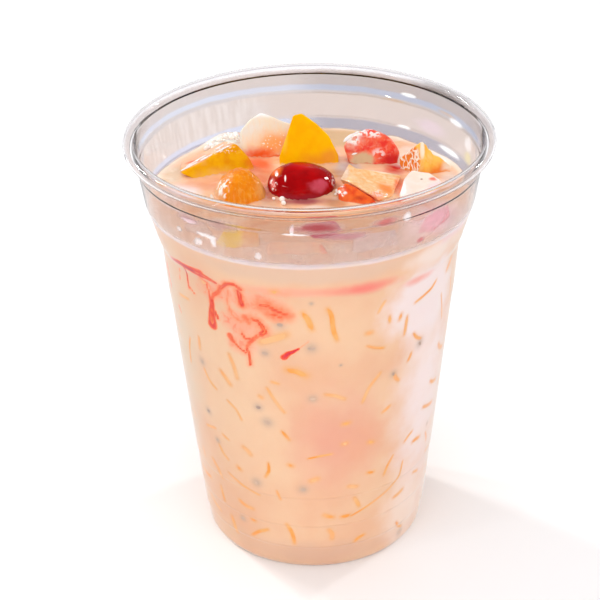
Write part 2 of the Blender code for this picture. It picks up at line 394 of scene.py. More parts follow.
@dataclass(frozen=True)
class MilkFinish:
    """Finish of the drink: peach-tinted milk with syrup worked in, and painted highlights at its edge."""

    patches: Rows
    base: Colour = (243, 198, 158)
    shade: Colour = (239, 184, 144)
    cream: Colour = (254, 246, 236)
    blush: Colour = (226, 150, 108)
    noodle: Colour = (247, 174, 98)
    seed: Colour = (198, 166, 146)
    # line and gleam are the colours of the painted highlights along the waterline at the wall.
    line: Colour = (236, 220, 226)
    gleam: Colour = (255, 252, 254)
    pink: Colour = (252, 162, 126)
    coral: Colour = (253, 126, 82)
    syrup: tuple[tuple[float, Colour], ...] = (
        (0.0, (253, 186, 148)), (0.3, (253, 146, 96)), (0.55, (250, 98, 40)), (0.85, (238, 50, 16)))
    # Radii in mm of the painted highlight round the surface's edge, and of the painted waterline at the
    # wall.
    edge: Pair = (40.8, 43.4)
    side: Pair = (43.2, 43.5)

    def material(self) -> Material:
        """Build the material.

        Returns:
            The material.
        """
        paint = Paint(bpy.data.materials.new("peach_milk"))
        top = paint.smooth(paint.along("Z"), MILK_LEVEL - 0.6, MILK_LEVEL - 0.1)
        swirl = paint.noise(6.5, 3.0, (2.2, 1.0, 1.0), 1.2)
        radius = paint.length(paint.vector("MULTIPLY", paint.place, (1 / MM, 1 / MM, 0.0)))
        side = paint.smooth(radius, *self.side)
        wavy = paint.wavy(7.0, 0.8)
        line = paint.times(paint.smooth(wavy, MILK_LEVEL - 0.6, MILK_LEVEL - 0.1),
                           paint.smooth(paint.noise(11.0, 2.0, (1, 1, 0.4)), 0.3, 0.6, 0.85), side)
        thin = paint.times(paint.smooth(wavy, MILK_LEVEL - 0.75, MILK_LEVEL - 0.6, 0.8),
                           paint.smooth(wavy, MILK_LEVEL - 0.25, MILK_LEVEL - 0.4), side)
        wash = paint.within(WASH, 5.0)
        marbled = paint.smooth(paint.noise(2.6, 3.0, (1, 1, 1.3), 2.2), 0.5, 0.64, 0.7)
        swirled = paint.times(paint.attribute("syrup"), paint.plus(paint.noise(1.8, 3.0), 0.5))
        colour = paint.blend(paint.smooth(paint.noise(16.0, 3.0), 0.3, 0.7), self.base, self.shade)
        # Painted highlights: the cream ring round the edge of the surface, and the line and gleam at the
        # waterline.
        colour = paint.layered(
            paint.patched(colour, self.patches, 7.0),
            (paint.times(top, paint.smooth(swirl, 0.52, 0.72, 0.25)), self.cream),
            (paint.times(top, paint.smooth(swirl, 0.46, 0.3, 0.5)), self.blush),
            (paint.times(top, paint.smooth(radius, *self.edge, 0.5)), self.cream),
            (line, self.line),
            (thin, self.gleam),
            (paint.times(paint.attribute("noodles"), 0.75), self.noodle),
            (paint.times(paint.attribute("seeds"), 0.7), self.seed),
            (paint.times(wash, 0.7), self.pink),
            (paint.times(wash, marbled), self.coral),
            (paint.smooth(swirled, 0.02, 0.4), paint.ramp(swirled, *self.syrup)))
        paint.set(Base_Color=colour, Roughness=0.25, Specular_IOR_Level=0.35, Coat_Weight=0.5,
                  Coat_Roughness=0.04, Subsurface_Weight=0.15, Subsurface_Scale=2.0 * MM,
                  Subsurface_Radius=(1.0, 0.7, 0.45), Normal=paint.relief(paint.noise(3.2, 2.0), 0.12))
        return paint.owner


@dataclass(frozen=True)
class Band:
    """A soft band of painted reflection round the cup's back; narrow ones are painted refraction lines.

    low and high are its heights in mm, left and right its colours, soft the width of its edges, lift how
    much it rises at the left, and narrow how much narrower it gets there.
    """

    low: float
    high: float
    left: Colour
    right: Colour
    soft: float
    lift: float = 0.0
    narrow: float = 0.0


# White glints on the wall: milk drops with their highlights painted in, as rows of Patch without the colour.
GLINTS = (
    ((-25.4, -35.9, 107.7), (4.2, 5, 0.9), 1, 0.5, 0.7), ((-27.9, -32.9, 105), (1.6, 3, 1.5), 1, 0.6, 0.9),
    ((-23.9, -36.4, 106.6), (1.2, 2.4, 2.4), 1, 0.5, 0.7), ((-32.6, -29, 106.5), (1.1, 2, 1), 1, 0.5, 0.5),
    ((-29.9, -33.1, 110.5), (2.6, 3, 0.8), 1, 0.5, 0.8),
    ((-12.8, -41.3, 104.9), (1.2, 2, 1.3), 1, 0.5, 0.7), ((-4.5, -45, 113.2), (0.7, 2, 2.2), 1, 0.5, 0.6),
    ((-4, -45, 112), (4.2, 2, 0.5), 1, 0.6, 0.6), ((23.6, -38.6, 113.4), (1.4, 3, 2), 1, 0.6, 0.7),
)

# Painted reflections and refraction lines in the back wall: rows of Band, the lowest layer first.
BANDS = (
    (112.6, 117.8, (209, 199, 196), (191, 181, 179), 0.8),
    (112.9, 114.5, (209, 212, 225), (184, 189, 206), 0.3, 0.6),
    (112, 112.4, (206, 198, 198), (190, 176, 168), 0.2, 0.6),
    (101.9, 105, (208, 211, 228), (172, 170, 180), 0.3, 0.4, 1.2),
    (102.1, 102.6, (168, 164, 178), (172, 168, 178), 0.15, 0.2),
    (105.3, 105.7, (214, 206, 208), (196, 184, 178), 0.2, 0.3, 1.2),
)

# Painted reflections, highlights and tints on the plastic: rows of Patch, the lowest layer first. The white
# rows are painted highlights.
MARKS = (
    ((37, 25, 117.9), (14, 20, 1.4), (182, 175, 172), 0.8, 0.6, 0.2),
    ((33.8, 27.9, 107.7), (8, 8, 2.8), (226, 208, 216), 0.8, 0.7, 0.2),
    ((42.4, 10, 106.5), (3.4, 3.6, 2.2), (228, 216, 164), 0.8, 0.6, 0.3),
    ((24.5, 37.7, 112), (6, 4, 0.5), (204, 176, 152), 0.8, 0.6, 0.2),
    ((37.9, 24.5, 113.2), (5, 6, 0.6), (212, 186, 164), 0.8, 0.6, 0.2),
    ((28, 35.5, 114.4), (3.2, 3.2, 0.7), (255, 255, 255), 1, 0.4, 0.2),
    ((26.4, 34.1, 105.2), (3, 3, 0.6), (255, 255, 255), 1, 0.4, 0.2),
    ((40.5, 20, 112.4), (3, 5.5, 0.9), (255, 255, 255), 0.9, 0.5, 0.2),
    ((38, 19, 103.9), (5, 7.5, 1), (255, 255, 255), 1, 0.4, 0.1),
    ((43, 11.3, 109.8), (2, 4, 2.6), (250, 248, 248), 0.8, 0.6, 0.3),
    ((0, -45.4, 116.7), (26, 12, 0.8), (255, 196, 132), 0.8, 0.6, 0.1),
    ((31, -33, 109), (13, 12, 8), (242, 226, 229), 0.7, 0.9, 0.3),
)


@dataclass(frozen=True)
class PlasticFinish:
    """Finish of the cup: clear plastic, faintly greige above the drink, with grey-blue bands at the back."""

    clear: Colour = (254, 253, 254)
    haze_and_reflection: Colour = (215, 202, 196)
    greige_low: float = 101.5
    greige_high: float = 117.5
    turn: Pair = (-8.0, 6.0)

    def material(self) -> Material:
        """Build the material.

        Returns:
            The material.
        """
        paint = Paint(bpy.data.materials.new("clear_plastic"))
        across, height = paint.along("X"), paint.wavy(6.0, 0.5, 1.0)
        # The greige is partly the plastic's own haziness and partly painted reflection of the surroundings.
        shown = paint.times(paint.smooth(height, self.greige_low, self.greige_low + 2.0),
                            paint.smooth(height, self.greige_high + 1.0, self.greige_high))
        streaks = paint.smooth(paint.noise(1.3, 2.0, (1, 1, 9)), 0.4, 0.62, 0.2)
        drawn = paint.times(streaks, paint.smooth(across, -8.0, -20.0))
        colour = paint.blend(paint.times(shown, paint.maths("SUBTRACT", 1.0, drawn)), self.clear, self.haze_and_reflection)
        behind = paint.smooth(paint.along("Y"), -2.0, 7.0)
        left = paint.smooth(across, -6.0, -34.0)
        # The bands are painted reflections and refraction lines in the back wall.
        for band in (Band(*row) for row in BANDS):
            level = paint.maths("SUBTRACT", height, paint.times(left, band.lift))
            top = paint.plus(level, paint.times(left, band.narrow))
            inside = paint.times(paint.smooth(level, band.low - band.soft, band.low + band.soft),
                                 paint.smooth(top, band.high + band.soft, band.high - band.soft), behind)
            own = paint.blend(paint.smooth(across, *self.turn), band.left, band.right)
            colour = paint.blend(inside, colour, own)
        # The plastic's colour carries painted reflections and highlights.
        paint.set(Base_Color=paint.patched(colour, MARKS + white(GLINTS)), Roughness=0.015, IOR=1.36,
                  Specular_IOR_Level=0.4, Transmission_Weight=1.0,
                  Normal=paint.relief(paint.noise(9.0, 1.0, (1, 1, 3)), 0.12))
        return paint.owner


# Thicker milk on the wall: rows of Patch without the colour.
VEILS = (
    ((24, -35.5, 107), (13, 13, 9), 0.42, 0.9),
)

# Stains in the milk on the wall: rows of Patch, except the first, red one, which is a painted reflection of
# the red papaya in the wall.
TINTS = (
    ((18.2, -41.3, 113.4), (5.6, 5, 1.7), (240, 84, 88), 0.75, 0.8),
    ((-30.5, -33, 111), (6, 6, 2.6), (216, 140, 160), 0.55, 0.9),
    ((31.5, -31.5, 110), (6.5, 7, 5), (246, 176, 196), 0.6, 0.9),
    ((27, -33.4, 104.8), (2, 3, 1.2), (224, 60, 80), 0.8, 0.8),
    ((1.6, -44.8, 113.9), (9, 4, 2.3), (202, 32, 56), 0.92, 0.8),
    ((9, -43.6, 110.8), (10, 4, 2), (212, 100, 140), 0.6, 0.9),
    ((-22, -39, 112), (9, 6, 3), (204, 132, 124), 0.55, 0.9),
)


@dataclass(frozen=True)
class FilmFinish:
    """Finish of the thin milk inside the wall: densest at the drink and at the front."""

    colour: Colour = (253, 242, 240)
    line: Colour = (236, 226, 230)
    front: float = 0.3
    back: float = 0.04
    top: float = 116.0

    def material(self) -> Material:
        """Build the material.

        Returns:
            The material.
        """
        paint = Paint(bpy.data.materials.new("milk_film"))
        back = paint.along("Y")
        cloud = paint.plus(paint.smooth(paint.noise(8.0, 2.0, (1, 1, 1.5), 0.5), 0.3, 0.7, 0.5), 0.6)
        thin = paint.times(paint.smooth(back, 10.0, -36.0, self.front, self.back), cloud,
                           paint.smooth(paint.along("Z"), self.top, MILK_LEVEL + 2.0))
        pool = paint.times(paint.smooth(paint.wavy(9.0, 1.2), MILK_LEVEL + 2.1, MILK_LEVEL + 1.5, 0.8),
                           paint.smooth(paint.noise(14.0, 2.0, (1, 1, 0.5)), 0.3, 0.65, 0.8),
                           paint.smooth(back, 16.0, -4.0))
        colour = paint.patched(paint.blend(pool, self.colour, self.line), TINTS)
        tinted = tuple((middle, reach, *rest) for middle, reach, _, *rest in TINTS)
        # Alpha rises where milk clings, and where the glints paint highlights on the wall.
        clung_and_glints = paint.within(tinted + VEILS + GLINTS)
        paint.set(Base_Color=colour, Roughness=0.3, Specular_IOR_Level=0.3,
                  Alpha=paint.maths("MAXIMUM", paint.maths("MAXIMUM", thin, pool), clung_and_glints))
        return paint.owner


@dataclass(frozen=True)
class Mottled:
    """Finish of the small things in the drink: two tones, and milk over the ones that lie deeper."""

    name: str
    colour: Colour
    shade: Colour
    spread: float
    sunk: float
    patches: Rows = ()
    milk: Colour = (250, 208, 170)

    def material(self) -> Material:
        """Build the material.

        Returns:
            The material.
        """
        paint = Paint(bpy.data.materials.new(self.name))
        colour = paint.blend(paint.smooth(paint.noise(self.spread * 0.7), 0.4, 0.6), self.colour, self.shade)
        milky = paint.smooth(paint.noise(self.spread, 1.0), 0.35, 0.65, self.sunk)
        colour = paint.patched(paint.blend(milky, colour, self.milk), self.patches)
        paint.set(Base_Color=colour, Roughness=0.3, Specular_IOR_Level=0.3,
                  Normal=paint.relief(paint.noise(0.8), 0.05))
        return paint.owner


def linked(name: str, data: bpy.types.ID) -> Piece:
    """Put a new object into the scene.

    Args:
        name: Name of the object.
        data: Its mesh, camera or light.

    Returns:
        The object.
    """
    made = bpy.data.objects.new(name, data)
    bpy.context.scene.collection.objects.link(made)
    return made


def meshed(name: str, bm: Shape) -> bpy.types.Mesh:
    """Turn a bmesh into a mesh.

    Args:
        name: Name of the mesh.
        bm: The shape, which is freed.

    Returns:
        The mesh.
    """
    mesh = bpy.data.meshes.new(name)
    bm.to_mesh(mesh)
    bm.free()
    return mesh


def gathered(shapes: Iterable[Shape]) -> Shape:
    """Join shapes into one.

    Args:
        shapes: The shapes, which are freed.

    Returns:
        The joined shape.
    """
    joined = bmesh.new()
    for shape in shapes:
        mesh = meshed("part", shape)
        joined.from_mesh(mesh)
        bpy.data.meshes.remove(mesh)
    return joined


def finished(name: str, bm: Shape, material: Material, nodes: tuple[str, ...] = (),
             smooth: bool = True) -> Piece:
    """Turn a bmesh into a piece of the model.

    Args:
        name: Name of the piece.
        bm: Its shape, which is freed.
        material: Its material.
        nodes: CAD nodes that it stands for.
        smooth: Whether its faces are shaded smoothly.

    Returns:
        The piece.
    """
    mesh = meshed(name, bm)
    if smooth:
        mesh.shade_smooth()
    mesh.materials.append(material)
    made = linked(name, mesh)
    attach(made, BODY)
    if nodes:
        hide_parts(*nodes)
    LOG.info("%s: %d faces", name, len(mesh.polygons))
    return made


def remeshed(bm: Shape, voxel: float) -> Shape:
    """Give a closed shape an even skin of small faces.

    Args:
        bm: The shape, which is freed.
        voxel: Size of a face in mm.

    Returns:
        The new shape.
    """
    rough = meshed("coarse", bm)
    coarse = linked("coarse", rough)
    skin = coarse.modifiers.new("skin", "REMESH")
    skin.mode = "VOXEL"
    skin.voxel_size = voxel * MM
    bpy.context.view_layer.update()
    even = bpy.data.meshes.new_from_object(coarse.evaluated_get(bpy.context.evaluated_depsgraph_get()))
    fine = bmesh.new()
    fine.from_mesh(even)
    bpy.data.objects.remove(coarse, do_unlink=True)
    for mesh in (rough, even):
        bpy.data.meshes.remove(mesh)
    return fine


@dataclass(frozen=True)
class Relief:
    """Waves in a surface: their height, and their length along each axis, in mm."""

    height: float
    length: Triple

    def at(self, place: Vector, seed: float) -> float:
        """Height of the waves at a place, both in mm, where the seed moves the pattern."""
        return self.height * noise.noise(Vector(p / n + seed for p, n in zip(place, self.length)))


@dataclass(frozen=True)
class Dent:
    """A hollow in a surface: its middle, reach and depth in mm."""

    middle: Triple
    reach: float
    depth: float

    def at(self, place: Vector) -> float:
        """Height of the dent at a place, in mm: its depth, fading over its reach."""
        away = (place - Vector(self.middle)).length / self.reach
        return -self.depth * math.exp(-away * away)


def shaped(bm: Shape, reliefs: tuple[Relief, ...], dents: tuple[Dent, ...], seed: float) -> None:
    """Move a shape's points along their normals.

    Args:
        bm: The shape.
        reliefs: Waves to add.
        dents: Dents to add.
        seed: Moves the waves.
    """
    bm.normal_update()
    moves = []
    for vertex in bm.verts:
        place = vertex.co / MM
        rise = sum(r.at(place, seed) for r in reliefs) + sum(d.at(place) for d in dents)
        moves.append(vertex.co + vertex.normal * rise * MM)
    for vertex, place in zip(bm.verts, moves):
        vertex.co = place


@dataclass
class CutFruit:
    """A cut piece of fruit: the outline of the side that shows, carried back to a smaller far side."""

    name: str
    slot: Slot
    seed: float
    reach: Triple
    face: tuple[Triple, ...]
    flesh: Flesh
    taper: float = 0.85
    edge: float = 0.5
    voxel: float = 0.3
    edge_steps: int = 4
    smoothing: int = 2
    reliefs: tuple[Relief, ...] = (Relief(0.3, (6, 6, 6)), Relief(0.05, (1.8, 1.8, 1.8)))
    dents: tuple[Dent, ...] = ()

    def build(self) -> Piece:
        """Model the piece and dress it.

        Returns:
            The piece.
        """
        bm = bmesh.new()
        middle = sum((Vector(p) for p in self.face), Vector()) / len(self.face)
        shown = bm.faces.new([bm.verts.new((Vector(p) - middle) * MM) for p in self.face])
        carried = bmesh.ops.extrude_face_region(bm, geom=[shown])["geom"]
        far = [part for part in carried if isinstance(part, bmesh.types.BMVert)]
        bmesh.ops.scale(bm, vec=Vector((self.taper,) * 3), verts=far)
        bmesh.ops.translate(bm, vec=Vector(self.reach) * MM, verts=far)
        bmesh.ops.recalc_face_normals(bm, faces=bm.faces)
        bmesh.ops.bevel(bm, geom=bm.edges[:], offset=self.edge * MM, segments=self.edge_steps, profile=0.5,
                        affect="EDGES", clamp_overlap=True, material=-1)
        bmesh.ops.translate(bm, vec=middle * MM, verts=bm.verts)
        bm = remeshed(bm, self.voxel)
        for _ in range(self.smoothing):
            bmesh.ops.smooth_vert(bm, verts=bm.verts, factor=0.5, use_axis_x=True, use_axis_y=True,
                                  use_axis_z=True)
        shaped(bm, self.reliefs, self.dents, self.seed)
        return finished(self.name, bm, self.flesh.material(), (self.name,))


@dataclass
class RoundFruit:
    """A round piece of fruit: its half lengths and middle in mm, and its turn in degrees."""

    name: str
    slot: Slot
    seed: float
    radii: Triple
    middle: Triple
    turn: float
    reliefs: tuple[Relief, ...]
    flesh: Flesh
    fineness: int = 6

    def build(self) -> Piece:
        """Model the piece and dress it.

        Returns:
            The piece.
        """
        bm = bmesh.new()
        bmesh.ops.create_icosphere(bm, subdivisions=self.fineness, radius=1.0)
        bmesh.ops.scale(bm, vec=Vector(self.radii) * MM, verts=bm.verts)
        bmesh.ops.rotate(bm, matrix=Matrix.Rotation(math.radians(self.turn), 3, "Z"), verts=bm.verts)
        bmesh.ops.translate(bm, vec=Vector(self.middle) * MM, verts=bm.verts)
        shaped(bm, self.reliefs, (), self.seed)
        return finished(self.name, bm, self.flesh.material(), (self.name,))


@dataclass
class Cup:
    """The cup: a thin turned wall with a rolled rim, a lid line, a shoulder, low ridges and a raised floor.

    Corners are a radius, a height and how far from the corner its rounding starts, all in mm.
    """

    wall: float = 0.7
    height: float = 120.0
    rim_radius: float = 49.0
    roll_radius: float = 1.6
    roll_wall: float = 0.5
    roll_end: float = -110.0
    roll_steps: int = 30
    neck_radius: float = 46.3
    lid_line: Triple = (45.6, 112.5, 0.3)
    lid_step: float = 0.35
    band_top: Triple = (44.1, 102.6, 1.2)
    band_foot: Triple = (43.1, 99.8, 1.2)
    shoulder_top: Triple = (41.25, 93.2, 1.2)
    shoulder: Triple = (40.25, 91.0, 1.0)
    ledge: Triple = (39.15, 77.0, 1.5)
    taper_top: Triple = (38.4, 71.0, 2.0)
    taper_foot: Triple = (31.95, 7.9, 0.25)
    ridge_heights: Pair = (25.4, 15.3)
    ridge_step: Triple = (0.12, 0.3, 0.2)
    base_step: float = 0.4
    foot_radius: float = 30.9
    foot_corner: float = 1.6
    heel_cut: float = 0.7
    ring_cut: float = 0.5
    ring_gap: float = 0.25
    ring_width: float = 1.6
    floor_edge: float = 2.6
    floor_rise: float = 3.0
    floor_cut: float = 0.8
    turn_steps: int = 168

    def outer_line(self) -> list[Vector]:
        """Outer side of the wall.

        Returns:
            Points (radius, height) in mm from under the rolled rim down to the middle of the raised floor.
        """
        radius, height, cut = self.lid_line
        line = [(self.neck_radius, self.height - 2 * self.roll_radius, 0.0),
                (radius + self.lid_step, height + self.lid_step, cut), (radius, height - self.lid_step, cut),
                self.band_top, self.band_foot, self.shoulder_top, self.shoulder, self.ledge, self.taper_top]
        radius, height, cut = self.taper_foot
        slope = (self.taper_top[0] - radius) / (self.taper_top[1] - height)
        across, up, round_off = self.ridge_step
        for ridge in self.ridge_heights:
            middle = radius + slope * (ridge - height)
            line += [(middle + across, ridge + up, round_off), (middle - across, ridge - up, round_off)]
        ring = self.foot_radius - self.foot_corner
        inner = ring - self.ring_width
        line += [(radius, height, cut), (radius - self.base_step, height - 2 * self.base_step, cut),
                 (self.foot_radius, self.foot_corner, self.heel_cut),
                 (ring + self.foot_corner / 2, self.ring_gap, self.ring_cut), (ring, 0.0, 0.0),
                 (inner, 0.0, self.ring_cut), (inner - self.foot_corner, self.foot_corner, self.ring_cut),
                 (inner - self.floor_edge, self.floor_rise, self.floor_cut), (0.0, self.floor_rise, 0.0)]
        return rounded(line)

    def inner_line(self, distance: float) -> list[Vector]:
        """Outer line moved inwards by a distance in mm."""
        return inward(self.outer_line(), distance)

    def radius_at(self, height: float, inset: float) -> float:
        """Radius of the wall at a height.

        Args:
            height: The height in mm.
            inset: How far inside the outer side, in mm.

        Returns:
            The radius in mm.
        """
        line = self.inner_line(inset)
        for above, below in zip(line, line[1:]):
            if below.y <= height <= above.y and above.y > below.y:
                return above.x + (above.y - height) / (above.y - below.y) * (below.x - above.x)
        return 0.0

    def point(self, angle: float, height: float, inset: float) -> Vector:
        """Place a point in the wall.

        Args:
            angle: Degrees from the front, to the right.
            height: Height in mm.
            inset: How far inside the outer side, in mm.

        Returns:
            The point in mm.
        """
        radius = self.radius_at(height, inset)
        turn = math.radians(angle)
        return Vector((radius * math.sin(turn), -radius * math.cos(turn), height))

    def roll_line(self) -> list[Vector]:
        """Rolled rim.

        Returns:
            Points (radius, height) in mm: over the rim and round, then back along the inside of the roll.
        """
        middle = Vector((self.rim_radius - self.roll_radius, self.height - self.roll_radius))
        steps = self.roll_steps
        angles = [math.radians(180 + (self.roll_end - 180) * i / steps) for i in range(steps + 1)]
        ways = [Vector((math.cos(a), math.sin(a))) for a in angles]
        outer, inner = self.roll_radius, self.roll_radius - self.roll_wall
        return [middle + outer * way for way in ways] + [middle + inner * way for way in ways[::-1]]

    def build(self, finish: PlasticFinish) -> Piece:
        """Turn the cup.

        Args:
            finish: The plastic.

        Returns:
            The cup.
        """
        line = self.inner_line(self.wall)[::-1] + self.roll_line() + self.outer_line()
        bm = turned(line, (math.tau, self.turn_steps))
        made = finished("clear_cup", bm, finish.material(), ("cup",))
        made.visible_shadow = False
        made.visible_diffuse = False
        return made


def rounded(line: list[Triple], steps: int = 5) -> list[Vector]:
    """Round the corners of a line.

    Args:
        line: Its corners in mm, each with the distance from it at which its curve starts.
        steps: Points in each curve, less one.

    Returns:
        The rounded line's points.
    """
    corners = [Vector((x, y)) for x, y, _ in line]
    points = []
    for i, corner in enumerate(corners):
        cut = line[i][2]
        if cut == 0.0:
            points.append(corner)
            continue
        before, after = ((corners[i + way] - corner).normalized() * cut + corner for way in (-1, 1))
        for t in (step / steps for step in range(steps + 1)):
            points.append((1 - t) ** 2 * before + 2 * t * (1 - t) * corner + t * t * after)
    return points


def inward(line: list[Vector], distance: float) -> list[Vector]:
    """Move a line that runs downwards towards the inside of the cup.

    Args:
        line: Its points.
        distance: How far, in mm.

    Returns:
        The moved points.
    """
    moved = []
    for i, here in enumerate(line):
        before = (here - line[i - 1]).normalized() if i else None
        after = (line[i + 1] - here).normalized() if i + 1 < len(line) else None
        before, after = before or after, after or before
        along = (before + after).normalized()
        side = Vector((along.y, -along.x))
        square = Vector((after.y, -after.x))
        moved.append(here + side * distance / max(side.dot(square), SHARPEST))
    return moved


def resampled(line: list[Vector], step: float) -> list[Vector]:
    """Spread points evenly along a line.

    Args:
        line: Its points.
        step: The longest distance between two of the new points, in mm.

    Returns:
        The new points, the old corners among them.
    """
    points = [line[0]]
    for start, end in zip(line, line[1:]):
        count = max(1, math.ceil((end - start).length / step))
        points += [start.lerp(end, i / count) for i in range(1, count + 1)]
    return points


def turned(line: list[Vector], *turns: tuple[float, int]) -> Shape:
    """Turn a line of points round the Z axis.

    Args:
        line: Points (radius, height) in mm.
        turns: Angle and steps of each stretch of the turn, which make a full turn together.

    Returns:
        The turned shape.
    """
    bm = bmesh.new()
    corners = [bm.verts.new((p.x * MM, 0.0, p.y * MM)) for p in line]
    geometry = corners + [bm.edges.new(pair) for pair in zip(corners, corners[1:])]
    if (line[0] - line[-1]).length > TOUCHING and line[0].x > TOUCHING:
        geometry.append(bm.edges.new((corners[-1], corners[0])))
    for angle, steps in turns:
        grown = bmesh.ops.spin(bm, geom=geometry, cent=(0, 0, 0), axis=(0, 0, 1), dvec=(0, 0, 0),
                               angle=angle, steps=steps, use_merge=False, use_duplicate=False)
        geometry = grown["geom_last"]
    bmesh.ops.remove_doubles(bm, verts=bm.verts, dist=MERGED * MM)
    bmesh.ops.recalc_face_normals(bm, faces=bm.faces)
    return bm


@dataclass
class WallFilm:
    """Milk that clings to the inside of the wall above the drink."""

    cup: Cup
    finish: FilmFinish
    low: float = 101.2
    high: float = 116.0
    clearance: float = 0.03
    thickness: float = 0.05
    rows: int = 24
    turn_steps: int = 120

    def build(self) -> Piece:
        """Turn the film.

        Returns:
            The film.
        """
        heights = [self.low + (self.high - self.low) * i / self.rows for i in range(self.rows + 1)]
        line = [Vector((self.cup.radius_at(h, self.cup.wall + self.clearance), h)) for h in heights]
        line += [Vector((p.x - self.thickness, p.y)) for p in reversed(line)]
        bm = turned(line, (math.tau, self.turn_steps))
        made = finished("milk_film", bm, self.finish.material())
        made.visible_shadow = False
        return made


@dataclass(frozen=True)
class Streak:
    """A streak of syrup on the wall.

    points are angles from the front and heights, widths are those of its ends and halo that of its soft
    stain, in mm, and red and glow are how strong the streak and its stain are.
    """

    points: tuple[Pair, ...]
    widths: Pair
    red: float
    halo: float
    glow: float


# The streaks that the photo shows.
STREAKS = tuple(Streak(*row) for row in (
    (((-63, 92.5), (-55.6, 93.4), (-50, 93.5), (-46, 93.6), (-43.4, 93.6)), (0.8, 2.3), 1, 1, 0.3),
    (((-43.9, 93.6), (-40.5, 93.2), (-36.8, 92.4)), (1.5, 0.6), 0.95, 1, 0.35),
    (((-44.3, 91.9), (-42.1, 91.1)), (1.3, 1.5), 0.42, 1, 0.35),
    (((-53.4, 93.2), (-53.3, 89.2), (-53, 85.9)), (0.7, 0.4), 0.85, 0.9, 0.2),
    (((-53, 86.8), (-49.3, 85.2)), (0.4, 0.3), 0.6, 0.8, 0.15),
    (((-58.8, 90.3), (-59.6, 86.7)), (0.4, 0.2), 0.5, 0.9, 0.12),
    (((-74, 87), (-71.5, 80.5)), (0.8, 0.4), 0.7, 0.9, 0.2),
    (((-64.6, 77), (-63.3, 75.4)), (0.7, 0.4), 0.5, 0.8, 0.15),
    (((-42.2, 90.5), (-41.2, 88.3), (-40.9, 85)), (0.4, 0.7), 0.65, 0.9, 0.2),
    (((-40.2, 85.8), (-41.1, 81.5), (-41.3, 78.4)), (1, 2.4), 1, 1, 0.4),
    (((-39.1, 82.6), (-37.8, 80.9)), (0.8, 0.4), 0.9, 0.8, 0.3),
    (((-35.3, 90.9), (-31.5, 93.4), (-28.4, 93.9), (-25.8, 92.4)), (1, 0.6), 0.75, 1.5, 0.4),
    (((-34.7, 91.6), (-36.5, 89.4), (-39.2, 87.9), (-40.7, 85.4)), (1.5, 1), 0.55, 1.2, 0.35),
    (((-27.2, 91.9), (-27.1, 89.8), (-26.5, 87.7)), (0.5, 1.3), 0.95, 1.8, 0.45),
    (((-32.1, 91), (-32.7, 86.9), (-31, 83.5), (-27.2, 82.3)), (0.6, 0.9), 0.36, 1.6, 0.25),
    (((-19.1, 88.5), (-16.3, 88.6), (-14.1, 87.6), (-9.3, 86.4)), (0.7, 0.4), 0.75, 2.4, 0.45),
    (((-15.4, 86.2), (-11.6, 85.6)), (0.4, 0.6), 0.6, 2.2, 0.45),
    (((-25.7, 83.8), (-24.2, 82.4)), (2, 1.4), 0.42, 1.4, 0.35),
    (((-23.2, 83.9), (-20.4, 83.4), (-18.5, 81.7), (-17.9, 80.4), (-19.4, 79.7)), (0.3, 1.3), 0.85, 2, 0.4),
    (((-33.1, 76.8), (-31.9, 75.4)), (1.6, 1.2), 0.6, 1.2, 0.3),
    (((-31.5, 75.2), (-29.4, 73.8), (-26.4, 72.4)), (0.5, 0.3), 0.7, 1.2, 0.3),
    (((-21.3, 78.6), (-24.6, 76.2), (-26.1, 74.3)), (1.2, 0.8), 0.5, 1.4, 0.3),
    (((-26.1, 74.3), (-25.1, 72.6), (-25.1, 69.1)), (0.5, 0.7), 0.8, 1.2, 0.3),
    (((-27.7, 78.8), (-26.2, 77.2), (-24, 77.5)), (0.5, 0.5), 0.6, 1.6, 0.3),
    (((-11, 73.1), (-9.2, 74.4), (-7.2, 75.1), (-5.2, 76.1)), (1.4, 0.5), 1, 0.7, 0.2),
    (((-5.2, 76.1), (-1.4, 78.4)), (0.4, 0.3), 0.3, 1.2, 0.12),
    (((-25.8, 92.4), (-18.3, 92.5), (-8.5, 93)), (0.5, 0.4), 0.22, 2.6, 0.2)
))


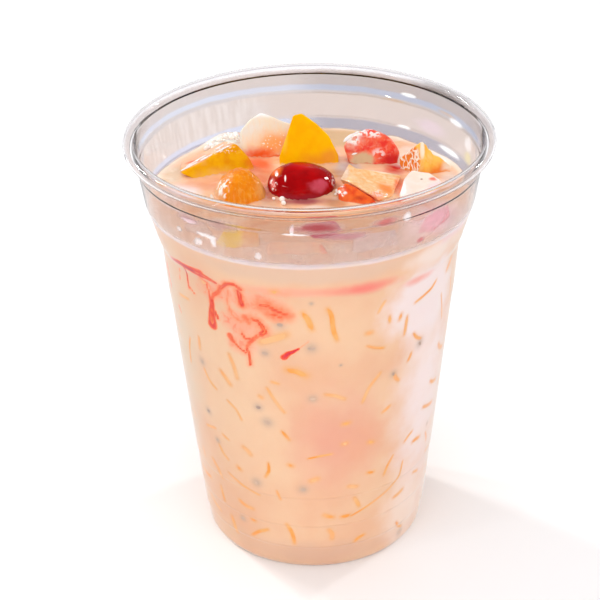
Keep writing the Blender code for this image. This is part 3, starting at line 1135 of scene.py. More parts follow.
@dataclass
class Milk:
    """The drink: it reaches just into the wall, and its surface rises at the wall and round the fruit."""

    cup: Cup
    finish: MilkFinish
    inset: float = 0.35
    smear_place: Pair = (-23.5, 33.0)
    smear_height: float = 2.4
    smear_width: float = 6.5
    ripple: float = 0.35
    ripple_length: float = 14.0
    swell: float = 0.28
    swell_length: float = 4.5
    tilt: float = 0.014
    climb: float = 0.4
    climb_width: float = 1.0
    hug: float = 0.35
    hug_width: float = 0.7
    rings: int = 62
    wall_step: float = 0.52
    floor_step: float = 2.0
    floor_margin: float = 3.0
    surface_gap: float = 0.3
    front_steps: int = 236
    back_steps: int = 70
    core: float = 1.6
    core_width: float = 0.85
    halo: float = 0.85
    halo_width: float = 1.2
    noodle_width: float = 0.6
    seed_width: float = 0.32

    def level_at(self, x: float, y: float) -> float:
        """Work out the height of the surface away from the wall and the fruit.

        Args:
            x: Place to the right, in mm.
            y: Place to the back, in mm.

        Returns:
            The height in mm.
        """
        away = math.hypot(x - self.smear_place[0], y - self.smear_place[1]) / self.smear_width
        wave = self.ripple * noise.noise(Vector((x, y, 0.0)) / self.ripple_length)
        return MILK_LEVEL + self.smear_height * math.exp(-away * away) + wave - self.tilt * y

    def raise_surface(self, bm: Shape, fruit: list[Piece]) -> None:
        """Shape the surface.

        Args:
            bm: The turned drink, with a flat surface.
            fruit: The pieces that stand in it.
        """
        joined = bmesh.new()
        for piece in fruit:
            joined.from_mesh(piece.data)
        tree = BVHTree.FromBMesh(joined)
        joined.free()
        edge = self.cup.radius_at(MILK_LEVEL, self.inset)
        for vertex in bm.verts:
            if vertex.co.z < (MILK_LEVEL - TOUCHING) * MM:
                continue
            x, y = vertex.co.x / MM, vertex.co.y / MM
            height = self.level_at(x, y)
            height += self.climb * math.exp(-(edge - math.hypot(x, y)) / self.climb_width)
            height += self.swell * noise.noise(Vector((x, y, 5.0)) / self.swell_length)
            place = Vector((x, y, height)) * MM
            near, normal, _, distance = tree.find_nearest(place)
            if (place - near).dot(normal) > 0:
                height += self.hug * math.exp(-distance / MM / self.hug_width)
            vertex.co.z = height * MM

    def distances(self, places: np.ndarray, points: list[Pair]) -> list[tuple[np.ndarray, np.ndarray]]:
        """Measure how far places are from a line on the wall.

        Args:
            places: The places in mm.
            points: Angles and heights of the line's points.

        Returns:
            For each stretch, the distances and how far along the whole line the nearest point is.
        """
        route = [np.array(self.cup.point(a, h, self.inset)) for a, h in points]
        found = []
        for i, (start, end) in enumerate(zip(route, route[1:])):
            along = end - start
            share = np.clip(((places - start) @ along) / (along @ along), 0, 1)
            away = np.linalg.norm(places - start - share[:, None] * along, axis=1)
            found.append((away, (i + share) / (len(route) - 1)))
        return found

    def stain(self, mesh: bpy.types.Mesh, strands: list[tuple], seeds: list[tuple]) -> None:
        """Work syrup, vermicelli and seeds into the drink at the wall, as soft stains round them.

        Args:
            mesh: The drink's mesh, which gets an attribute for each.
            strands: Points and width of each strand.
            seeds: Angle, height, width, height and lean of each seed.
        """
        places = np.empty(len(mesh.vertices) * 3)
        mesh.vertices.foreach_get("co", places)
        places = places.reshape(-1, 3) / MM
        syrup, noodles, specks = (np.zeros(len(places)) for _ in range(3))
        for streak in STREAKS:
            for away, share in self.distances(places, streak.points):
                width = streak.widths[0] + (streak.widths[1] - streak.widths[0]) * share
                core = streak.red * np.clip(self.core * (1 - away / (self.core_width * width)), 0, 1)
                halo = self.halo * streak.glow * np.exp(-((away / (self.halo_width * streak.halo)) ** 2))
                syrup = np.maximum(syrup, np.maximum(core, halo))
        for points, width in strands:
            for away, _ in self.distances(places, points):
                noodles = np.maximum(noodles, np.exp(-((away / width / self.noodle_width) ** 2)))
        for angle, height, across, tall, _ in seeds:
            away = np.linalg.norm(places - np.array(self.cup.point(angle, height, self.inset)), axis=1)
            specks = np.maximum(specks, np.exp(-((away / (across + tall) / self.seed_width) ** 2)))
        for name, values in (("syrup", syrup), ("noodles", noodles), ("seeds", specks)):
            layer = mesh.attributes.new(name, "FLOAT", "POINT")
            layer.data.foreach_set("value", values.astype(np.float32))

    def build(self, fruit: list[Piece], strands: list[tuple], seeds: list[tuple]) -> Piece:
        """Model the drink and dress it.

        Args:
            fruit: The pieces that stand in it.
            strands: Points and width of each strand of vermicelli.
            seeds: Angle, height, width, height and lean of each seed.

        Returns:
            The drink.
        """
        edge = self.cup.radius_at(MILK_LEVEL, self.inset)
        surface = [Vector((edge * i / self.rings, MILK_LEVEL)) for i in range(self.rings + 1)]
        wetted = [p for p in self.cup.inner_line(self.inset) if p.y < MILK_LEVEL - self.surface_gap]
        corner = self.cup.foot_radius - self.floor_margin
        walls = [p for p in wetted if p.x > corner]
        floor = [p for p in wetted if p.x <= corner]
        line = surface + resampled([surface[-1]] + walls, self.wall_step)[1:]
        line += resampled([walls[-1]] + floor, self.floor_step)[1:]
        bm = turned(line, (-math.pi, self.front_steps), (-math.pi, self.back_steps))
        self.raise_surface(bm, fruit)
        made = finished("milk", bm, self.finish.material(), ("milk_drink",))
        self.stain(made.data, strands, seeds)
        return made


def swept(route: list[Vector], outs: list[Vector], widths: list[float], thickness: float) -> Shape:
    """Model a flattened strand along a route.

    Args:
        route: Its points in mm.
        outs: At each point, the direction that its flat side faces.
        widths: Its width at each point, in mm.
        thickness: Half its thickness, in mm.

    Returns:
        The strand.
    """
    bm = bmesh.new()
    bmesh.ops.create_circle(bm, cap_ends=True, segments=8, radius=1.0)
    cap, ring = bm.faces[:], bm.verts[:]
    frames = []
    for i, here in enumerate(route):
        along = (route[min(i + 1, len(route) - 1)] - route[max(i - 1, 0)]).normalized()
        side = along.cross(outs[i]).normalized()
        matrix = Matrix((side * widths[i] / 2, side.cross(along) * thickness, along)).transposed().to_4x4()
        frames.append(Matrix.Translation(here) @ matrix)
    bmesh.ops.transform(bm, matrix=frames[0], verts=ring)
    for before, after in zip(frames, frames[1:]):
        grown = bmesh.ops.extrude_face_region(bm, geom=cap)["geom"]
        cap = [part for part in grown if isinstance(part, bmesh.types.BMFace)]
        ring = [part for part in grown if isinstance(part, bmesh.types.BMVert)]
        bmesh.ops.transform(bm, matrix=after @ before.inverted(), verts=ring)
    bmesh.ops.scale(bm, vec=Vector((MM, MM, MM)), verts=bm.verts)
    bmesh.ops.recalc_face_normals(bm, faces=bm.faces)
    return bm


def flat_strand(cup: Cup, points: list[Pair], widths: list[float], thickness: float, inset: float) -> Shape:
    """Model a flattened strand that lies on the drink, just inside the wall.

    Args:
        cup: The cup.
        points: Angles from the front and heights along it.
        widths: Its width at each point, in mm.
        thickness: Half its thickness, in mm.
        inset: How far its middle lies inside the wall's outer side, in mm.

    Returns:
        The strand.
    """
    route = [cup.point(a, h, inset) for a, h in points]
    return swept(route, [Vector((p.x, p.y, 0.0)).normalized() for p in route], widths, thickness)


def curve_through(points: tuple[tuple[float, ...], ...], step: float) -> list[tuple[float, ...]]:
    """Read a smooth curve through a few points.

    Args:
        points: The points.
        step: Rough distance between the new points, in mm of height or degrees.

    Returns:
        Points along the curve, its ends among them.
    """
    ends = [points[0], *points, points[-1]]
    curve = []
    for a, b, c, d in zip(ends, ends[1:], ends[2:], ends[3:]):
        count = max(2, math.ceil(math.dist(b, c) / step))
        for i in range(count):
            t = i / count
            curve.append(tuple(0.5 * (2 * q + (r - p) * t + (2 * p - 5 * q + 4 * r - s) * t * t
                                      + (3 * q - p - 3 * r + s) * t ** 3) for p, q, r, s in zip(a, b, c, d)))
    return curve + [points[-1]]


def tapered(count: int, first: float, last: float, end: float = 0.25) -> list[float]:
    """Widths along a strand with thin ends.

    Args:
        count: How many.
        first: Width near the start.
        last: Width near the end.
        end: Share of the width that the very ends keep.

    Returns:
        The widths.
    """
    widths = []
    for share in (i / (count - 1) for i in range(count)):
        round_off = math.sqrt(max(0.0, 1 - abs(2 * share - 1) ** 4))
        widths.append((first + (last - first) * share) * (end + (1 - end) * round_off))
    return widths


def ball(matrix: Matrix) -> Shape:
    """Model a ball of radius 1 and change it by a matrix.

    Args:
        matrix: The matrix.

    Returns:
        The ball.
    """
    bm = bmesh.new()
    bmesh.ops.create_icosphere(bm, subdivisions=3, radius=1.0)
    bmesh.ops.transform(bm, matrix=matrix, verts=bm.verts)
    return bm


# The strands that the photo shows: points (angle from the front, height) and width of each.
STRANDS = (
    (((-3.3, 87.1), (-1.5, 85.2), (0, 82.1)), 1.5), (((-19.8, 77.2), (-15.6, 78.6), (-10, 80.3)), 2.2),
    (((-9.9, 69.2), (-6.3, 69), (-2.7, 67.5)), 2), (((-34.8, 70.5), (-33, 67), (-32, 63.3)), 1.1),
    (((-58.8, 69), (-61, 65), (-62, 60)), 0.7), (((-51.4, 71.5), (-51.9, 67.6)), 1),
    (((-75.7, 70), (-69, 67)), 0.6), (((-16.6, 64.7), (-13.8, 64.3)), 0.8),
    (((5.8, 88.2), (7.2, 86), (7.9, 81.7), (9.4, 78.4)), 1.25), (((38.8, 80.6), (38.1, 75)), 0.95),
    (((35.8, 82.1), (35.1, 80.5)), 1.1), (((30.4, 82.6), (30.5, 80.8)), 1.1),
    (((21, 79.1), (22.8, 79.1)), 1.3), (((54.7, 87), (51.8, 85.5), (47, 84.6), (42.5, 83.8)), 0.8),
    (((69.7, 83), (72.5, 74.5)), 0.7), (((60.3, 81), (62, 77), (64.4, 72)), 0.5),
    (((28, 65.3), (23.2, 61.4), (20.6, 57)), 0.8), (((-22.3, 59.3), (-21.3, 58.9)), 1.1),
    (((-18.8, 62.5), (-15.6, 58.5), (-12, 55)), 0.8), (((-13.5, 48.6), (-10.5, 46)), 0.9),
    (((-44.5, 41.6), (-41, 40.6)), 0.7), (((-56, 41.2), (-49, 42.3)), 0.7),
    (((-64.7, 30.5), (-63.7, 28)), 0.8), (((-37.4, 32.2), (-36, 31.6)), 1.3),
    (((-11.2, 37.3), (-9.8, 37)), 1.3), (((-2.6, 39.8), (2.5, 40.6), (8, 41.1)), 0.6),
    (((-1.5, 32), (1.3, 32.8)), 1.4), (((-44, 28.4), (-35, 26), (-27, 24.5)), 0.6),
    (((-32.8, 14.7), (-31, 14.3)), 1.1), (((4.6, 19.6), (8.8, 18.6)), 1.3),
    (((12.8, 18.4), (16.9, 18.6)), 1.2), (((12.6, 50.8), (15, 51)), 1.3), (((12.7, 44), (14.3, 44.2)), 1.2),
    (((24.7, 43), (26.7, 42.5)), 1.3), (((25, 32.3), (27.8, 32)), 1.1), (((16, 29), (19.7, 28.4)), 1.1),
    (((45.3, 31.3), (43.9, 26.6), (39, 23.8), (30, 21.3), (17.2, 18)), 0.55),
    (((-14, 93.6), (-12.4, 93.8)), 1.6), (((-44.4, 91.3), (-42.2, 90.7)), 1.7),
)


@dataclass
class Vermicelli:
    """Orange vermicelli at the wall: those that the photo shows, and more by chance elsewhere."""

    cup: Cup
    finish: Mottled
    inset: float = 0.33
    thickness: float = 0.03
    step: float = 1.6
    hidden: int = 90
    faint: int = 44
    clear: float = 3.4
    degree: float = 0.65
    length: Pair = (2.5, 7.0)
    width: Pair = (0.6, 1.3)
    heights: Pair = (6.0, 90.0)
    slope: float = 1.4
    bend: float = 0.25
    seed: int = 11

    def random_strand(self, dice: random.Random, angles: Pair) -> tuple[tuple[Pair, ...], float]:
        """Draw a strand by chance.

        Args:
            dice: The random draws.
            angles: Range of its angle from the front.

        Returns:
            Its points and its width.
        """
        angle = dice.uniform(*angles)
        height = dice.uniform(*self.heights)
        slope = dice.uniform(-self.slope, self.slope)
        half = dice.uniform(*self.length) / 2
        bend = dice.uniform(-self.bend, self.bend) * half
        radius = self.cup.radius_at(height, self.inset)
        points = []
        for share in (-1, 0, 1):
            along, off = share * half, bend * (1 - share * share)
            right = along * math.cos(slope) - off * math.sin(slope)
            up = along * math.sin(slope) + off * math.cos(slope)
            top = min(max(height + up, self.heights[0] - 2), self.heights[1])
            points.append((angle + math.degrees(right / radius), top))
        return tuple(points), dice.uniform(*self.width)

    def crowded(self, points: tuple[Pair, ...], other: tuple[Pair, ...]) -> bool:
        """Tell whether any points of two strands are closer than the clear distance."""
        away = (math.hypot((a - c) * self.degree, b - d) for a, b in points for c, d in other)
        return min(away) < self.clear

    def laid(self) -> list[tuple[tuple[Pair, ...], float]]:
        """Lay out the strands.

        Returns:
            Points and width of each.
        """
        dice = random.Random(self.seed)
        strands = list(STRANDS)
        streaks = [streak.points for streak in STREAKS]
        for angles, wanted in (((85.0, 275.0), self.hidden), ((-80.0, 80.0), self.faint)):
            enough = len(strands) + wanted
            while len(strands) < enough:
                strand = self.random_strand(dice, angles)
                if not any(self.crowded(strand[0], other) for other in [s[0] for s in strands] + streaks):
                    strands.append(strand)
        return strands

    def build(self) -> Piece:
        """Model the strands as one piece.

        Returns:
            The piece.
        """
        shapes = []
        for points, width in self.laid():
            route = curve_through(points, self.step)
            widths = tapered(len(route), width, width)
            shapes.append(flat_strand(self.cup, route, widths, self.thickness, self.inset))
        return finished("vermicelli", gathered(shapes), self.finish.material(), smooth=False)


@dataclass
class SyrupStreaks:
    """The red cores of the syrup streaks."""

    cup: Cup
    finish: Mottled
    inset: float = 0.32
    thickness: float = 0.03
    least_red: float = 0.7
    core: float = 0.5
    wave: float = 0.8
    wave_length: float = 3.0
    step: float = 1.2
    end: float = 0.1

    def build(self) -> Piece:
        """Model the streaks as one piece.

        Returns:
            The piece.
        """
        shapes = []
        for streak in (streak for streak in STREAKS if streak.red >= self.least_red):
            route = curve_through(streak.points, self.step)
            widths = tapered(len(route), *(width * self.core for width in streak.widths), self.end)
            waves = [1 + self.wave * noise.noise(Vector((a, h, 3.0)) / self.wave_length) for a, h in route]
            widths = [width * wave for width, wave in zip(widths, waves)]
            shapes.append(flat_strand(self.cup, route, widths, self.thickness, self.inset))
        return finished("syrup_streaks", gathered(shapes), self.finish.material(), smooth=False)


# The seeds that the photo shows: angle from the front, height, width, height and lean of each.
SEEDS = (
    (-0.3, 76.3, 3.4, 1.6, 0), (48, 69.6, 1.5, 3.2, -25), (34.4, 63.5, 1.3, 2.4, -20),
    (-0.1, 90, 1.1, 1, 0), (11, 70.3, 0.8, 0.8, 0), (-23.3, 55.5, 2.2, 2, 0), (-19.7, 51, 2.9, 2.6, 0),
    (-52.6, 47, 2, 2, 0), (-48.7, 38.3, 1.4, 1.8, 0), (-27.5, 29, 2.2, 2.8, 0), (-38.5, 13.5, 1.8, 1.6, 0),
    (-0.1, 60, 2.6, 1.6, 0), (-5.2, 29, 2.4, 2.2, 0), (50.6, 4, 2.2, 1.8, 0), (-11.9, 83.2, 2.6, 1.8, 0),
    (-18.5, 73.7, 2.6, 1.6, 0), (-51.5, 63.6, 1.8, 2.2, 0), (64.4, 37.6, 0.8, 1.4, 0),
)


@dataclass
class BasilSeeds:
    """Soaked basil seeds just under the wall: angle, height, width, height and lean of each."""

    cup: Cup
    finish: Mottled
    inset: float = 0.33
    thickness: float = 0.03
    core: float = 0.6
    hidden: int = 44
    ranges: tuple[Pair, ...] = ((80, 280), (6, 90), (1.2, 2.4), (1.2, 2.2), (-40, 40))
    seed: int = 5

    def laid(self) -> list[tuple[float, ...]]:
        """Lay out the seeds.

        Returns:
            Angle, height, width, height and lean of each.
        """
        dice = random.Random(self.seed)
        return [*SEEDS, *(tuple(dice.uniform(*ends) for ends in self.ranges) for _ in range(self.hidden))]

    def build(self) -> Piece:
        """Model the seeds as one piece.

        Returns:
            The piece.
        """
        shapes = []
        for angle, height, across, tall, lean in self.laid():
            size = Matrix.Diagonal((across * self.core / 2, self.thickness, tall * self.core / 2, 1))
            turn = Matrix.Rotation(math.radians(angle), 4, "Z") @ Matrix.Rotation(math.radians(lean), 4, "Y")
            middle = Matrix.Translation(self.cup.point(angle, height, self.inset))
            shapes.append(ball(Matrix.Scale(MM, 4) @ middle @ turn @ size))
        return finished("basil_seeds", gathered(shapes), self.finish.material(), smooth=False)


# The runs: points, width and the way that each faces.
RUNS = (
    (((-35.2, 10.2, 103.9), (-32.6, 12, 104.6), (-30.6, 13.3, 105.1)), 0.5, (0, -0.5, 0.9)),
    (((-30, 13.8, 105.3), (-28.2, 14.9, 105.8), (-26.6, 15.9, 106.2)), 0.5, (0, -0.5, 0.9)),
    (((-25.6, 16.4, 106.5), (-23.4, 18, 107), (-21.8, 19.1, 107.3)), 0.5, (0, -0.5, 0.9)),
    (((-33.8, 12.9, 103.9), (-30.6, 15.6, 104.8), (-28.4, 17.4, 105.3)), 0.45, (0, -0.5, 0.9)),
    (((-26, 19.4, 106), (-23.6, 21.2, 106.8)), 0.5, (0, -0.5, 0.9)),
    (((9.4, 20, 107.4), (11.6, 20.8, 109), (14, 21.4, 109.9)), 0.8, (0, -0.7, 0.7)),
    (((11.6, 17.2, 104.8), (13.2, 17, 105.4)), 0.5, (0, -0.9, 0.3)),
    (((7, -0.8, 103), (7.4, -3.2, 103)), 0.9, (0, -0.3, 0.9)),
    (((-25.8, -5.8, 102.9), (-26.3, -3, 103)), 0.9, (0, -0.4, 0.9)),
)


@dataclass
class MilkRuns:
    """Thin runs of cream and painted sheen on fruit edges: points in mm, width, and the way each faces."""

    finish: Flesh
    thickness: float = 0.14
    wave: float = 0.7
    step: float = 0.6
    end: float = 0.15

    def build(self) -> Piece:
        """Model the runs as one piece.

        Returns:
            The piece.
        """
        shapes = []
        for points, width, facing in RUNS:
            route = [Vector(p) for p in curve_through(points, self.step)]
            widths = tapered(len(route), width, width, self.end)
            widths = [w * (1 + self.wave * noise.noise(p)) for w, p in zip(widths, route)]
            shapes.append(swept(route, [Vector(facing).normalized()] * len(route), widths, self.thickness))
        return finished("milk_runs", gathered(shapes), self.finish.material())


# The single drops: place and radius of each.
DROPS = (
    (-7.4, -5.6, 102.6, 0.8), (-7, -8, 102.6, 0.65), (-9.6, -4.8, 102.4, 0.45), (-24.8, 18.8, 106.6, 0.3),
    (-22.3, 20.6, 107.2, 0.35), (-24.6, -8.2, 102.8, 0.45), (20.2, -6.4, 103.8, 0.3), (8, -1.6, 103, 0.5),
    (6.8, -3.2, 102.6, 0.4),
)


@dataclass
class Drops:
    """Foam bubbles and drops on the fruit and the drink, and the patch of froth at the back, in mm."""

    finish: Flesh
    milk: Milk
    froth: int = 44
    middle: Pair = (-23.5, 32.0)
    reach: Pair = (6.5, 3.6)
    slant: float = 0.7
    radius: Pair = (0.3, 0.85)
    rise: float = 0.2
    edge: float = 42.8
    seed: int = 8

    def build(self) -> Piece:
        """Model the drops as one piece.

        Returns:
            The piece.
        """
        dice = random.Random(self.seed)
        places = list(DROPS)
        for _ in range(self.froth):
            turn, share = dice.uniform(0, math.tau), math.sqrt(dice.random())
            x = self.middle[0] + self.reach[0] * share * math.cos(turn)
            y = self.middle[1] + self.reach[1] * share * math.sin(turn) + self.slant * (x - self.middle[0])
            radius = dice.uniform(*self.radius)
            if math.hypot(x, y) + radius < self.edge:
                places.append((x, y, self.milk.level_at(x, y) + self.rise * radius, radius))
        # The drops are cream white: on the froth that is its own colour, on the clear bubbles a painted
        # highlight.
        matrices = [Matrix.Translation(Vector(p) * MM) @ Matrix.Scale(r * MM, 4) for *p, r in places]
        return finished("foam_drops", gathered(map(ball, matrices)), self.finish.material())


# The lamps: name, place, size, power, and False for those that don't show in glossy surfaces.
LAMPS = (
    ("overhead", (0.0, -0.3, 1.2), (0.9, 0.9), 4.7, False),
    ("fill", (0.2, -0.84, 0.42), (1.6, 0.5), 3.7, False),
    ("window", (-0.5, 0.46, 0.5), (0.08, 0.12), 2.0), ("side", (0.56, 0.42, 0.46), (0.08, 0.1), 1.4),
    ("front", (-0.55, -0.33, 0.4), (0.05, 0.05), 0.35), ("strip", (-0.42, 0.26, 0.5), (0.02, 0.12), 0.5),
)


@dataclass(frozen=True)
class Studio:
    """Camera, lights, world and floor. Places and sizes are metres, angles degrees."""

    camera_place: Triple = (0.0, -0.42124, 0.30308)
    pitch: float = 29.073
    yaw: float = 0.437
    roll: float = -1.092
    lens: float = 104.53
    sensor: float = 36.0
    floor_size: float = 6.0
    floor_gap: float = 0.00005
    lamp_aim: Triple = (0.0, 0.0, 0.09)
    strength: float = 0.55

    def set_camera(self) -> None:
        """Put the camera at the photo's viewing angle."""
        pitch, yaw, roll = (math.radians(a) for a in (self.pitch, self.yaw, self.roll))
        right = Vector((math.cos(yaw), math.sin(yaw), 0.0))
        level = math.cos(pitch)
        forward = Vector((-math.sin(yaw) * level, math.cos(yaw) * level, -math.sin(pitch)))
        up = right.cross(forward)
        across = math.cos(roll) * right + math.sin(roll) * up
        upward = math.cos(roll) * up - math.sin(roll) * right
        data = bpy.data.cameras.new("camera")
        data.lens = self.lens
        data.sensor_width = self.sensor
        camera = linked("camera", data)
        turn = Matrix((across, upward, -forward)).transposed().to_4x4()
        camera.matrix_world = Matrix.Translation(self.camera_place) @ turn
        bpy.context.scene.camera = camera

    def set_floor(self) -> None:
        """Lay the pale floor."""
        bm = bmesh.new()
        bmesh.ops.create_grid(bm, x_segments=1, y_segments=1, size=self.floor_size / 2)
        paint = Paint(bpy.data.materials.new("pale_floor"))
        colour = paint.blend(paint.noise(400.0), (246, 246, 246), (250, 250, 250))
        paint.set(Base_Color=colour, Roughness=0.9)
        floor = linked("floor", meshed("floor", bm))
        floor.data.materials.append(paint.owner)
        floor.location.z = -self.floor_gap
        floor.visible_glossy = False

    def set_world(self) -> None:
        """Surround the cup with soft white light, dimmer at the horizon but white through the plastic."""
        world = bpy.data.worlds.new("studio")
        bpy.context.scene.world = world
        paint = Paint(world, "Background", "Generated")
        up = paint.add("SeparateXYZ", {0: paint.place}).outputs["Z"]
        light = paint.ramp(up, (0.0, (150, 140, 138)), (0.25, (205, 200, 200)), (0.6, (250, 250, 255)))
        paint.set(Color=light, Strength=self.strength)
        fading = paint.ramp(up, (0.0, (246, 244, 245)), (0.45, (150, 148, 150)))
        mirror = paint.add("Background", {"Color": fading})
        bright = paint.add("Background", {"Color": (252, 250, 250)})
        path = paint.add("LightPath")
        shown = paint.shader
        for ray, other in (("Is Glossy Ray", mirror), ("Is Transmission Ray", bright)):
            shown = paint.add("MixShader", {0: path.outputs[ray], 1: shown.outputs[0], 2: other.outputs[0]})
        paint.plug(paint.tree.nodes["World Output"].inputs["Surface"], shown.outputs[0])

    def add_lamp(self, name: str, place: Triple, size: Pair, power: float, mirrored: bool = True) -> None:
        """Add a soft lamp that points at the fruit.

        Args:
            name: Its name.
            place: Its place.
            size: Its width and height.
            power: Its power in watts.
            mirrored: Whether it shows in glossy surfaces.
        """
        data = bpy.data.lights.new(name, "AREA")
        data.shape = "RECTANGLE"
        data.size, data.size_y = size
        data.energy = power
        lamp = linked(name, data)
        lamp.location = place
        lamp.rotation_euler = (Vector(self.lamp_aim) - Vector(place)).to_track_quat("-Z", "Y").to_euler()
        lamp.visible_glossy = mirrored

    def build(self) -> None:
        """Set up the whole studio."""
        bpy.context.scene.view_settings.view_transform = "Standard"
        self.set_camera()
        self.set_floor()
        self.set_world()
        for lamp in LAMPS:
            self.add_lamp(*lamp)
